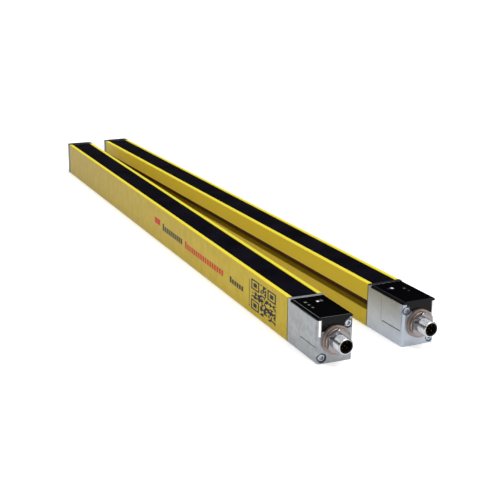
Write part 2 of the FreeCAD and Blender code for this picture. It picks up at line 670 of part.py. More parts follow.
def connector_shell(label, _hand):
    """Metal shell of the plug connector: sleeve, hexagon and shank round one bore."""
    body = new_body(label)
    mouth = "(-1 * Sizes.ConnectorReach)"
    ring(body, "Sleeve", mouth, "Sizes.ConnectorRadius", "Sizes.SleeveBore", f"{HEX_FRONT} - {mouth}")
    grip = section_sketch(body, "Grip", HEX_FRONT)
    polygon(grip, HEXAGON_SIDES, "0", CONNECTOR_HEIGHT, "Sizes.HexHalf")
    circle(grip, "0", CONNECTOR_HEIGHT, "Sizes.SleeveBore")
    pad_along(body, grip, "Sizes.HexThickness")
    shank = section_sketch(body, "Shank", HEX_BACK)
    octagons(shank, [("0", CONNECTOR_HEIGHT)], "Sizes.ShankHalf")
    circle(shank, "0", CONNECTOR_HEIGHT, "Sizes.SleeveBore")
    pad_along(body, shank, f"{SHANK_END} - {HEX_BACK}")
    return body


def connector_washer(label, _hand):
    """Sealing washer between the boss and the hexagon of the connector."""
    body = new_body(label)
    section = section_sketch(body, "Section", HEX_BACK)
    circle(section, "0", CONNECTOR_HEIGHT, "Sizes.WasherRadius")
    octagons(section, [("0", CONNECTOR_HEIGHT)], "Sizes.ShankHalf + Sizes.ShankPlay")
    pad_along(body, section, "Sizes.WasherThickness")
    return body


def connector_insert(label, _hand):
    """Moulded contact carrier, set back in the bore of the shell."""
    body = new_body(label)
    section = section_sketch(body, "Section", INSERT_FACE)
    circle(section, "0", CONNECTOR_HEIGHT, "Sizes.SleeveBore")
    octagons(section, pin_places(), "Sizes.PinRadius")
    pad_along(body, section, f"{INSERT_END} - {INSERT_FACE}")
    return body


def pin_places():
    """Centres of the contact pins: one in the middle and the others evenly round it."""
    ring = int(size("Sizes.RingPinCount"))
    places = [("0", CONNECTOR_HEIGHT)]
    for number in range(ring):
        angle = 360.0 * (number + 0.5) / ring
        across = f"Sizes.PinCircle * cos({angle:.3f} deg)"
        up = f"{CONNECTOR_HEIGHT} + Sizes.PinCircle * sin({angle:.3f} deg)"
        places.append((across, up))
    return places


def connector_pins(label, _hand):
    """Contact pins, from inside the sleeve to the lead board behind the carrier."""
    body = new_body(label)
    start = f"({INSERT_FACE} - Sizes.PinReach)"
    pins = section_sketch(body, "Pins", start)
    octagons(pins, pin_places(), "Sizes.PinRadius")
    pad_along(body, pins, f"{LEAD_BOARD} - {start}")
    return body


def lead_board(label, _hand):
    """Small upright board behind the connector, from the pin tails to the display board."""
    body = new_body(label)
    section = section_sketch(body, "Section", LEAD_BOARD)
    half = "(Sizes.LeadBoardWidth / 2)"
    foot = f"{CONNECTOR_HEIGHT} - Sizes.SleeveBore"
    rectangle(section, f"(-1 * {half})", half, foot, DISPLAY_BOARD_FOOT)
    pad_along(body, section, "Sizes.LeadBoardThickness")
    return body


def display_board(label, _hand):
    """Board under the cover's opening, held against the roof of the cap."""
    body = new_body(label)
    sketch = level_sketch(body, "Outline", DISPLAY_BOARD_FOOT)
    half = "(Sizes.DisplayBoardWidth / 2)"
    end = "Sizes.DisplayBoardStart + Sizes.DisplayBoardLength"
    rectangle(sketch, f"(-1 * {half})", half, "Sizes.DisplayBoardStart", end)
    pad(body, sketch, "Sizes.DisplayBoardThickness")
    return body


def status_lamps(label, hand):
    """Row of small lamps and a digit display, between the display board and the cover."""
    body = new_body(label)
    row = level_sketch(body, "Lamps", CAP_ROOF)
    centre = turned("Sizes.LampLine", -hand)
    half = "Sizes.LampSize / 2"
    rectangle(
        row, f"{centre} - {half}", f"{centre} + {half}", f"Sizes.FarLamp - {half}", f"Sizes.FarLamp + {half}"
    )
    lamp_pad = pad(body, row, "Sizes.CapWall / 2")
    repeat(body, lamp_pad, "Y_Axis", "Sizes.LampCount", "Sizes.LampPitch", reverse=True)
    digit = level_sketch(body, "Digit", CAP_ROOF)
    centre = turned("Sizes.DigitLine", hand)
    across = "Sizes.DigitWidth / 2"
    along = "Sizes.DigitLength / 2"
    rectangle(
        digit, f"{centre} - {across}", f"{centre} + {across}",
        f"Sizes.FarLamp - {along}", f"Sizes.FarLamp + {along}",
    )
    pad(body, digit, "Sizes.CapWall / 2")
    return body


def repeat(body, feature, axis, count, pitch, reverse=False):
    """Repeats a feature in a straight row along one of the body's axes."""
    pattern = body.newObject("PartDesign::LinearPattern", feature.Name + "Row")
    pattern.Originals = [feature]
    direction = [item for item in body.Origin.OriginFeatures if item.Role == axis][0]
    pattern.Direction = (direction, [""])
    pattern.Reversed = reverse
    pattern.setExpression("Occurrences", count)
    pattern.setExpression("Length", f"({count} - 1) * {pitch}")
    body.Tip = pattern
    doc.recompute()
    return pattern


def main_board(label, _hand):
    """Long circuit board in the rails of the profile."""
    body = new_body(label)
    section = section_sketch(body, "Section", f"({PROFILE_START} + Sizes.BoardEndGap)")
    half = f"({INNER_HALF} - Sizes.BoardPlay)"
    rectangle(section, f"(-1 * {half})", half, "Sizes.BoardHeight", BOARD_TOP)
    pad_along(body, section, f"{PROFILE_LENGTH} - 2 * Sizes.BoardEndGap")
    return body


def optics_carrier(label, _hand):
    """Black moulded bar with one light tube for each beam."""
    body = new_body(label)
    section = section_sketch(body, "Section", CARRIER_START)
    rectangle(section, f"(-1 * {CARRIER_HALF})", CARRIER_HALF, BOARD_TOP, CARRIER_TOP)
    pad_along(body, section, CARRIER_LENGTH)
    tube = level_sketch(body, "LightTube", CARRIER_TOP)
    along = "Sizes.TubeLength / 2"
    rectangle(tube, f"(-1 * {TUBE_HALF})", TUBE_HALF, f"{FIRST_BEAM} - {along}", f"{FIRST_BEAM} + {along}")
    tube_cut = pocket(body, tube, f"{CARRIER_TOP} - {BOARD_TOP}")
    repeat(body, tube_cut, "Y_Axis", BEAM_COUNT, "Sizes.BeamPitch")
    return body


def lens_row(label, _hand):
    """Clear moulded strip on the carrier: a crowned section that lies over all the light tubes."""
    body = new_body(label)
    section = section_sketch(body, "Section", CARRIER_START)
    outline(section, mirrored_outline([
        (CARRIER_HALF, CARRIER_TOP),
        (CARRIER_HALF, f"{CARRIER_TOP} + Sizes.LensPlate"),
        (TUBE_HALF, f"{CARRIER_TOP} + Sizes.LensPlate + Sizes.LensRise"),
    ]))
    pad_along(body, section, CARRIER_LENGTH)
    return body


def diodes(label, _hand):
    """One optical diode on the main board in each light tube."""
    body = new_body(label)
    sketch = level_sketch(body, "Diode", BOARD_TOP)
    half = "(Sizes.DiodeSize / 2)"
    rectangle(sketch, f"(-1 * {half})", half, f"{FIRST_BEAM} - {half}", f"{FIRST_BEAM} + {half}")
    diode = pad(body, sketch, "Sizes.DiodeHeight")
    repeat(body, diode, "Y_Axis", BEAM_COUNT, "Sizes.BeamPitch")
    return body


def ribbon(label, _hand):
    """Folded ribbon from the display board down to the main board."""
    body = new_body(label)
    sketch = side_sketch(body, "Fold", "(-1 * Sizes.RibbonWidth / 2)")
    upright = "(Sizes.DisplayBoardStart + Sizes.DisplayBoardLength - Sizes.RibbonInset)"
    end = f"({CARRIER_START} - Sizes.RibbonInset)"
    outline(sketch, [
        (upright, DISPLAY_BOARD_FOOT),
        (upright, f"{BOARD_TOP} + Sizes.RibbonLift"),
        (f"{end} - Sizes.RibbonLap", BOARD_TOP),
        (end, BOARD_TOP),
        (end, f"{BOARD_TOP} + Sizes.RibbonThickness"),
        (f"{end} - Sizes.RibbonLap", f"{BOARD_TOP} + Sizes.RibbonThickness"),
        (f"{upright} + Sizes.RibbonThickness", f"{BOARD_TOP} + Sizes.RibbonLift + Sizes.RibbonThickness"),
        (f"{upright} + Sizes.RibbonThickness", DISPLAY_BOARD_FOOT),
    ])
    pad(body, sketch, "Sizes.RibbonWidth")
    return body


def both_sides(along, up):
    """The two places on the side faces at a distance along and a height."""
    return [Vector(side * size(HALF_WIDTH), size(along), size(up)) for side in (1, -1)]


PIECES = {
    "housing_profile": housing_profile,
    "front_window": front_window,
    "connection_cap": connection_cap,
    "display_cover": display_cover,
    "cap_gasket": cap_gasket,
    "cap_screws": cap_screws,
    "connector_shell": connector_shell,
    "connector_washer": connector_washer,
    "connector_insert": connector_insert,
    "connector_pins": connector_pins,
    "lead_board": lead_board,
    "display_board": display_board,
    "status_lamps": status_lamps,
    "ribbon": ribbon,
    "main_board": main_board,
    "diodes": diodes,
    "optics_carrier": optics_carrier,
    "lens_row": lens_row,
    "far_gasket": far_gasket,
    "far_cap": far_cap,
    "far_cap_screws": far_cap_screws,
}


def place_receiver(body):
    """The receiver lies along +Y, with the origin half way along it."""
    body.setExpression("Placement.Base.y", "-1 * Sizes.HousingLength / 2")


def place_transmitter(body):
    """The transmitter lies to the receiver's right, set back and turned towards it."""
    body.setExpression("Placement.Base.x", "Sizes.PairSpacing")
    body.setExpression("Placement.Base.y", "Sizes.PairStagger - Sizes.HousingLength / 2")
    body.Placement = Placement(body.Placement.Base, Rotation(ALONG_Z, 1.0))
    body.setExpression("Placement.Rotation.Angle", "Sizes.PairSplay")


def check_document():
    """Stops if any object of the document failed or any body has no sound shape."""
    for item in doc.Objects:
        if "Invalid" in item.State or "Error" in item.State:
            raise RuntimeError(f"{item.Name} failed: {item.State}")
        if item.TypeId == "PartDesign::Body" and (item.Shape.isNull() or not item.Shape.isValid()):
            raise RuntimeError(f"{item.Label} has no valid shape")


bodies = []
for unit, hand, place in (("receiver", 1, place_receiver), ("transmitter", -1, place_transmitter)):
    for piece, build in PIECES.items():
        body = build(f"{unit}_{piece}", hand)
        place(body)
        bodies.append(body)
doc.recompute()
check_document()

os.makedirs("parts", exist_ok=True)
for body in bodies:
    body.Shape.exportStep(os.path.join("parts", f"{body.Label}.step"))
    print(f"{body.Label}: {len(body.Shape.Solids)} solids, {body.Shape.Volume:.1f} mm3")
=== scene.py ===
"""Looks of a pair of safety light curtain bars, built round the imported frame.

Lengths inside a bar are millimetres in the bar's own frame: x across, y from the end face
of the connection cap towards the far end, z up from the back face. BarFrame turns them
into metres in the shared frame.
"""

import json
import logging
import math
from dataclasses import dataclass
from enum import Enum

import bpy
import numpy as np
from bpy.types import ID, Material, NodeSocket, NodeTree, Object, World
from mathutils import Matrix, Vector

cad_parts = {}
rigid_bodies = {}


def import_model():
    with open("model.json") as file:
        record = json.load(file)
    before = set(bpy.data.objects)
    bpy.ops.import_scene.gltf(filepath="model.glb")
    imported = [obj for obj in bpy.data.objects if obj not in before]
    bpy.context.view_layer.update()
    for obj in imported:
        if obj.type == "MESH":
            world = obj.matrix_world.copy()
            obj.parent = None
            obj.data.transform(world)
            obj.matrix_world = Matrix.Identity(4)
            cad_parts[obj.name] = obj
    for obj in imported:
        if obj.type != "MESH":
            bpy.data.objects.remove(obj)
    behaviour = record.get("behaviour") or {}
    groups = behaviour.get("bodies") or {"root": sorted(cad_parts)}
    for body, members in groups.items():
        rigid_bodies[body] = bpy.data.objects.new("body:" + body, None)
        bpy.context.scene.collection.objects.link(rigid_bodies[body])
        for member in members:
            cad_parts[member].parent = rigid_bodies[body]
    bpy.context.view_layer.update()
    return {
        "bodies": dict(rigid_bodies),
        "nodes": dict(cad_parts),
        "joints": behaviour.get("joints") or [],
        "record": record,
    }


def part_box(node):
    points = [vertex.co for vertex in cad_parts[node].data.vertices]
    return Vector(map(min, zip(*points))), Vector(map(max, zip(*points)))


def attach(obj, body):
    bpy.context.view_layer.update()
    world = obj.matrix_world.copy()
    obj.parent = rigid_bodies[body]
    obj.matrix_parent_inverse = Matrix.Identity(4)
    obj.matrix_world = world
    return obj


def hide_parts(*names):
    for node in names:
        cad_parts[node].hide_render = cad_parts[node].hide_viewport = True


LOG = logging.getLogger("light_curtain")
MM = 0.001
SHARP_ANGLE = 35.0  # degrees between two faces past which the edge between them is sharp
FRONT_FACE = 35.4  # height of the bars' front face, mm
LAMP_DEPTH = 0.3  # half the depth in which a lamp shows in the cover, mm


class Unit(Enum):
    """The two bars of the pair."""

    RECEIVER = "receiver"
    TRANSMITTER = "transmitter"


# which side of each bar its slot is on: +1 for its +x side, -1 for the other
HANDS = {Unit.RECEIVER: 1, Unit.TRANSMITTER: -1}


# ---------------------------------------------------------------- frames


@dataclass(frozen=True)
class BarFrame:
    """Where one bar lies in the shared frame.

    Args:
        unit: which bar it is.
        hand: +1 where the slot is on the bar's +x side, -1 where it is on the other.
        end: middle of the end face at the foot of the bar, metres.
        yaw: turn of the bar about the vertical, radians.
    """

    unit: Unit
    hand: int
    end: tuple[float, float]
    yaw: float

    @classmethod
    def read(cls, unit: Unit, hand: int, record: dict) -> "BarFrame":
        """Finds a bar from the record's plug mounts and the receiver's end face.

        Args:
            unit: which bar to find.
            hand: the side its slot is on.
            record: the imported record.

        Returns:
            The frame of that bar.
        """
        mounts = {mount["name"]: mount for mount in record["mounts"]}
        plug = mounts[f"{unit.value}_plug"]
        axis = plug["axis"]
        yaw = math.atan2(axis[0], -axis[1])
        end_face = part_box("receiver_display_cover")[0][1]
        reach = end_face - mounts["receiver_plug"]["pos_m"][1]
        middle = plug["pos_m"]
        return cls(unit, hand, (middle[0] - reach * axis[0], middle[1] - reach * axis[1]), yaw)

    def node(self, name: str) -> str:
        """Full name of a node or piece of this bar."""
        return f"{self.unit.value}_{name}"

    def place(self, points: np.ndarray) -> np.ndarray:
        """Turns bar millimetres into shared metres.

        Args:
            points: array of shape (n, 3) in the bar's own frame.

        Returns:
            The same points, turned by the yaw about the vertical and moved to the end face.
        """
        cos, sin = math.cos(self.yaw), math.sin(self.yaw)
        x, y, z = (points * MM).T
        shared_x = self.end[0] + cos * x - sin * y
        shared_y = self.end[1] + sin * x + cos * y
        return np.column_stack((shared_x, shared_y, z))


@dataclass(frozen=True)
class ConnectorSizes:
    """Lengths of a plug connector along and about its axis, mm, and how finely it is drawn.

    Args:
        axis: height of its axis.
        mouth: front end of the sleeve.
        hexagon_front: front face of the hexagon.
        hexagon_back: back face of the hexagon, on the washer.
        boss_face: face of the cap's boss, under the washer.
        shank_end: inner end of the shank.
        insert_face: front face of the contact carrier.
        pin_tip: tips of the contacts.
        pin_end: inner ends of the contacts.
        sleeve_radius: radius over the thread.
        bore_radius: radius inside the sleeve.
        lining_radius: radius inside the dark lining, a black sheet that paints the shade inside the
            sleeve.
        hexagon_half: half the width across flats.
        hexagon_corner: radius over the corners.
        cone_slope: growth of the cone that turns the corners, per millimetre of depth.
        cone_inset: how far inside the corners that cone starts.
        washer_radius: radius over the washer.
        washer_bore: radius inside it.
        washer_edge: radius of its rounded edges.
        pin_radius: radius of a contact.
        pin_circle: radius of the circle that the outer contacts stand on.
        thread_pitch: length of a turn of the thread.
        thread_depth: depth of the thread.
        chamfer: how far the sleeve is cut back at its mouth.
        chamfer_length: how far along that goes.
        key_depth: how far the lining's key stands inwards.
        key_half_width: half the key's width, degrees.
        lining_gap: clearance between the lining and the bore.
        lining_setback: how far inside the mouth the lining starts.
        lining_joint: gap between the lining and the carrier's face.
        thread_rows: points along the sleeve.
        tube_steps: points round the sleeve, washer and lining.
        hexagon_rows: points along the hexagon.
        hexagon_steps: points round the hexagon.
        shank_steps: points round the shank.
        washer_edge_steps: points over a rounded edge.
        pin_steps: points round a contact.
        pin_tip_steps: points over its tip.
    """

    axis: float = 17.7
    mouth: float = -16.5
    hexagon_front: float = -6.4
    hexagon_back: float = -3.8
    boss_face: float = -2.4
    shank_end: float = 4.8
    insert_face: float = -7.3
    pin_tip: float = -14.3
    pin_end: float = 8.2
    sleeve_radius: float = 6.0
    bore_radius: float = 5.2
    lining_radius: float = 4.5
    hexagon_half: float = 8.5
    hexagon_corner: float = 9.3
    cone_slope: float = 1.2
    cone_inset: float = 0.35
    washer_radius: float = 9.4
    washer_bore: float = 6.15
    washer_edge: float = 0.45
    pin_radius: float = 0.5
    pin_circle: float = 2.75
    thread_pitch: float = 1.0
    thread_depth: float = 0.28
    chamfer: float = 0.45
    chamfer_length: float = 0.5
    key_depth: float = 0.7
    key_half_width: float = 11.0
    lining_gap: float = 0.02
    lining_setback: float = 0.15
    lining_joint: float = 0.03
    thread_rows: int = 121
    tube_steps: int = 96
    hexagon_rows: int = 9
    hexagon_steps: int = 144
    shank_steps: int = 64
    washer_edge_steps: int = 7
    pin_steps: int = 20
    pin_tip_steps: int = 6


@dataclass(frozen=True)
class ScrewSizes:
    """Lengths of a cap screw, mm, and how finely it is drawn.

    Args:
        across: distance of the screws from the bar's middle.
        front_height: height of the one on the slot's side.
        back_height: height of the other.
        head_radius: radius of the head.
        head_height: its height.
        head_edge: radius of its rounded edge.
        shank_radius: radius of the shank.
        drive_radius: mean radius of the recess.
        drive_depth: its depth.
        lobes: number of its lobes.
        lobe_share: height of a lobe as a share of the recess's radius.
        floor_share: size of the recess's floor as a share of its mouth.
        round_steps: points round the screw.
        head_edge_steps: points over the rounded edge.
    """

    across: float = 10.6
    front_height: float = 28.4
    back_height: float = 4.5
    head_radius: float = 2.8
    head_height: float = 2.0
    head_edge: float = 0.6
    shank_radius: float = 1.5
    drive_radius: float = 1.6
    drive_depth: float = 1.3
    lobes: int = 6
    lobe_share: float = 0.16
    floor_share: float = 0.85
    round_steps: int = 72
    head_edge_steps: int = 6


# ---------------------------------------------------------------- meshes


@dataclass(frozen=True)
class Shape:
    """A closed surface as arrays.

    Args:
        points: (n, 3) places in millimetres.
        quads: (q, 4) indices.
        triangles: (t, 3) indices.
    """

    points: np.ndarray
    quads: np.ndarray
    triangles: np.ndarray

    def moved(self, x: float, y: float, z: float) -> "Shape":
        """The same surface at another place."""
        return Shape(self.points + np.array((x, y, z)), self.quads, self.triangles)

    def outward(self) -> "Shape":
        """The same surface with its faces turned so that its signed volume is positive.

        The volume is the sum over the triangles of a . (b x c) / 6.

        Returns:
            The surface, whose faces point outwards.
        """
        corners = np.vstack((self.triangles, self.quads[:, [0, 1, 2]], self.quads[:, [0, 2, 3]]))
        a, b, c = (self.points[corners[:, i]] for i in range(3))
        if np.einsum("ij,ij->i", a, np.cross(b, c)).sum() >= 0:
            return self
        return Shape(self.points, self.quads[:, ::-1], self.triangles[:, ::-1])

    @staticmethod
    def joined(shapes: list["Shape"]) -> "Shape":
        """Several surfaces as one set of arrays.

        Args:
            shapes: the surfaces.

        Returns:
            All of them, each with its indices moved past those before it.
        """
        starts = np.cumsum([0] + [len(shape.points) for shape in shapes])
        return Shape(
            np.vstack([shape.points for shape in shapes]),
            np.vstack([shape.quads + start for shape, start in zip(shapes, starts)]),
            np.vstack([shape.triangles + start for shape, start in zip(shapes, starts)]),
        )


def revolve(along: np.ndarray, radius: np.ndarray, ring: bool) -> Shape:
    """A surface turned about the bar's long direction.

    A point of row i and column j is (radius * cos a, along_i, radius * sin a), where a is
    the full turn times j over the number of columns.

    Args:
        along: (k,) distances of the rows.
        radius: (k, n) radii, one for each row and column.
        ring: True where the last row joins the first; otherwise the first and last rows
            have no radius and become poles.

    Returns:
        The closed surface.
    """
    rows, columns = radius.shape
    angle = np.linspace(0.0, 2.0 * math.pi, columns, endpoint=False)
    flat = np.broadcast_to(along[:, None], radius.shape)
    grid = np.stack((radius * np.cos(angle), flat, radius * np.sin(angle)), axis=-1).reshape(-1, 3)
    index = np.arange(rows * columns).reshape(rows, columns)
    if ring:
        index = np.vstack((index, index[:1]))
        low, high = index[:-1], index[1:]
        quads = np.stack((low, np.roll(low, -1, 1), np.roll(high, -1, 1), high), axis=-1)
        return Shape(grid, quads.reshape(-1, 4), np.empty((0, 3), int)).outward()
    low, high = index[1:-2], index[2:-1]
    quads = np.stack((low, np.roll(low, -1, 1), np.roll(high, -1, 1), high), axis=-1).reshape(-1, 4)
    first, last = index[1], index[-2]
    start = np.stack((np.full(columns, index[0, 0]), np.roll(first, -1), first), axis=-1)
    end = np.stack((np.full(columns, index[-1, 0]), last, np.roll(last, -1)), axis=-1)
    triangles = np.vstack((start, end))
    used, where = np.unique(np.concatenate((quads.ravel(), triangles.ravel())), return_inverse=True)
    count = quads.size
    return Shape(grid[used], where[:count].reshape(-1, 4), where[count:].reshape(-1, 3)).outward()


def turned(along: np.ndarray, radius: np.ndarray, steps: int, ring: bool) -> Shape:
    """A revolved surface whose rows are circles of the given radii, in so many steps."""
    return revolve(along, np.repeat(radius[:, None], steps, axis=1), ring)


def cuboids(centres: np.ndarray, halves: np.ndarray) -> Shape:
    """Boxes about the centres, each corner being the centre plus or minus its half sizes.

    Args:
        centres: (m, 3) middles.
        halves: (m, 3) half sizes.

    Returns:
        All the boxes as one surface.
    """
    signs = np.array([(x, y, z) for x in (-1, 1) for y in (-1, 1) for z in (-1, 1)])
    faces = np.array(
        [(0, 1, 3, 2), (4, 6, 7, 5), (0, 4, 5, 1), (2, 3, 7, 6), (0, 2, 6, 4), (1, 5, 7, 3)]
    )
    points = (centres[:, None] + signs * halves[:, None]).reshape(-1, 3)
    quads = (faces[None] + 8 * np.arange(len(centres))[:, None, None]).reshape(-1, 4)
    return Shape(points, quads, np.empty((0, 3), int)).outward()


def add_object(name: str, data: ID) -> Object:
    """Puts new data into the scene.

    Args:
        name: the object's name.
        data: its mesh, light or camera.

    Returns:
        The new object.
    """
    made = bpy.data.objects.new(name, data)
    bpy.context.scene.collection.objects.link(made)
    return made


def make_piece(
    bar: BarFrame,
    name: str,
    shape: Shape,
    material: Material,
    stands_for: str | None = None,
) -> Object:
    """Makes a mesh piece of a bar and ties it to the frame.

    Args:
        bar: the bar it belongs to.
        name: its short name.
        shape: its surface in the bar's own frame.
        material: its finish.
        stands_for: short name of the CAD node that it replaces, if any.

    Returns:
        The new object.
    """
    mesh = bpy.data.meshes.new(bar.node(name))
    faces = shape.quads.tolist() + shape.triangles.tolist()
    mesh.from_pydata(bar.place(shape.points).tolist(), [], faces)
    mesh.materials.append(material)
    mesh.shade_smooth()
    mesh.set_sharp_from_angle(angle=math.radians(SHARP_ANGLE))
    piece = add_object(bar.node(name), mesh)
    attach(piece, "root")
    if stands_for:
        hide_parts(bar.node(stands_for))
    return piece


# ---------------------------------------------------------------- shader helpers


class Kind(Enum):
    """What a shader node does here.

    Each is the node's type, its settings, the inputs that its values go to, and the output
    that is used.
    """

    X = ("ShaderNodeSeparateXYZ", {}, (0,), 0)
    Y = ("ShaderNodeSeparateXYZ", {}, (0,), 1)
    Z = ("ShaderNodeSeparateXYZ", {}, (0,), 2)
    MULTIPLY = ("ShaderNodeMath", {"operation": "MULTIPLY"}, (0, 1), 0)
    ADD = ("ShaderNodeMath", {"operation": "ADD"}, (0, 1), 0)
    GREATER = ("ShaderNodeMath", {"operation": "MAXIMUM"}, (0, 1), 0)
    UNSIGNED = ("ShaderNodeMath", {"operation": "ABSOLUTE"}, (0,), 0)
    WITHIN = ("ShaderNodeMath", {"operation": "COMPARE"}, (0, 1, 2), 0)
    BLEND = ("ShaderNodeMix", {"data_type": "RGBA"}, (0, 6, 7), 2)
    CHOICE = ("ShaderNodeMix", {"data_type": "FLOAT"}, (0, 2, 3), 0)
    RANGE = ("ShaderNodeMapRange", {}, ("Value", "From Min", "From Max", "To Min", "To Max"), 0)
    BANDS = ("ShaderNodeValToRGB", {}, (0,), 0)
    NOISE = ("ShaderNodeTexNoise", {}, ("Vector", "Scale", "Detail"), 0)
    OBJECT = ("ShaderNodeTexCoord", {}, (), "Object")
    DIRECTION = ("ShaderNodeTexCoord", {}, (), "Generated")
    PLACE = (
        "ShaderNodeMapping",
        {"vector_type": "TEXTURE"},
        ("Vector", "Location", "Rotation", "Scale"),
        0,
    )
    NORMAL = ("ShaderNodeNewGeometry", {}, (), "Normal")
    SOFT_EDGE = ("ShaderNodeBevel", {"samples": 6}, ("Radius",), 0)
    BUMP = ("ShaderNodeBump", {}, (), 0)
    CAMERA_RAY = ("ShaderNodeLightPath", {}, (), "Is Camera Ray")
    GLOSSY_RAY = ("ShaderNodeLightPath", {}, (), "Is Glossy Ray")
    CLEAR_RAY = ("ShaderNodeLightPath", {}, (), "Is Transmission Ray")
    SURFACE = ("ShaderNodeBsdfPrincipled", {}, (), 0)
    MATT = ("ShaderNodeBsdfDiffuse", {}, ("Color",), 0)
    LIGHT = ("ShaderNodeEmission", {}, ("Color", "Strength"), 0)
    TOGETHER = ("ShaderNodeAddShader", {}, (0, 1), 0)
    EITHER = ("ShaderNodeMixShader", {}, (0, 1, 2), 0)
    SKY = ("ShaderNodeBackground", {}, ("Color", "Strength"), 0)
    OUTPUT = ("ShaderNodeOutputMaterial", {}, ("Surface",), None)
    WORLD_OUTPUT = ("ShaderNodeOutputWorld", {}, ("Surface",), None)


def empty_tree(owner: Material | World) -> NodeTree:
    """Turns on the nodes of a material or a world, and clears them.

    Args:
        owner: the material or world.

    Returns:
        Its empty node tree.
    """
    owner.use_nodes = True
    owner.node_tree.nodes.clear()
    return owner.node_tree


def add_node(tree: NodeTree, kind: Kind, *values: object, **named: object) -> NodeSocket | None:
    """Adds a shader node with its settings and links.

    Args:
        tree: the node tree.
        kind: what the node does.
        values: values or linked sockets for the kind's inputs, in their order.
        named: the same for its other inputs, by name.

    Returns:
        The kind's output, if it has one.
    """
    node_type, settings, inputs, output = kind.value
    node = tree.nodes.new(node_type)
    for key, value in settings.items():
        setattr(node, key, value)
    for key, value in (dict(zip(inputs, values)) | named).items():
        if isinstance(value, NodeSocket):
            tree.links.new(value, node.inputs[key])
        else:
            node.inputs[key].default_value = value
    return None if output is None else node.outputs[output]


def linear(colour: str) -> tuple[float, float, float, float]:
    """Turns an sRGB colour into a linear one.

    Args:
        colour: six hex digits.

    Returns:
        Linear red, green and blue, and a full alpha.
    """
    values = [int(colour[i : i + 2], 16) / 255.0 for i in (0, 2, 4)]
    red, green, blue = (v / 12.92 if v <= 0.04045 else ((v + 0.055) / 1.055) ** 2.4 for v in values)
    return red, green, blue, 1.0


# ---------------------------------------------------------------- finishes


@dataclass(frozen=True)
class Ground:
    """What a finish is laid on: a bar's material while it is being made.

    Args:
        bar: the bar's frame.
        tree: the material's node tree.
        place: bar coordinates in millimetres.
    """

    bar: BarFrame
    tree: NodeTree
    place: NodeSocket


class Side(Enum):
    """Where across a bar a mark is."""

    GIVEN = "where its centre says"
    SLOT = "where its centre says with +x towards the bar's slot"
    BOTH = "on either side of the bar's middle"


@dataclass(frozen=True)
class Mark:
    """A box in a bar's frame inside which a surface has another colour.

    Args:
        colour: sRGB hex.
        centre: middle of the box, mm.
        half: its half sizes, mm, or nothing where the colour goes everywhere.
        share: share of the colour.
        side: where across the bar it is.
        unit: the only bar that has it, if not both.
    """

    colour: str
    centre: tuple[float, ...] = ()
    half: tuple[float, ...] = ()
    share: float = 1.0
    side: Side = Side.GIVEN
    unit: Unit | None = None

    def mask(self, ground: Ground) -> NodeSocket | float:
        """How much of the colour there is at each point.

        Args:
            ground: what it lies on.

        Returns:
            The share inside the box and 0 outside it.
        """
        if not self.half:
            return self.share
        tree, (middle, *others) = ground.tree, self.centre
        x, y, z = (add_node(tree, kind, ground.place) for kind in (Kind.X, Kind.Y, Kind.Z))
        if self.side is Side.SLOT:
            middle *= ground.bar.hand
        if self.side is Side.BOTH:
            x = add_node(tree, Kind.UNSIGNED, x)
        mask: NodeSocket | float = self.share
        for value, centre, half in zip((x, y, z), (middle, *others), self.half):
            near = add_node(tree, Kind.WITHIN, value, centre, half)
            mask = add_node(tree, Kind.MULTIPLY, mask, near)
        return mask

    def over(self, ground: Ground, colour: NodeSocket) -> NodeSocket:
        """Lays the mark over a colour, unless it is the other bar's.

        Args:
            ground: what it lies on.
            colour: the colour under it.

        Returns:
            The colour with the mark.
        """
        if self.unit not in (None, ground.bar.unit):
            return colour
        return add_node(ground.tree, Kind.BLEND, self.mask(ground), colour, linear(self.colour))


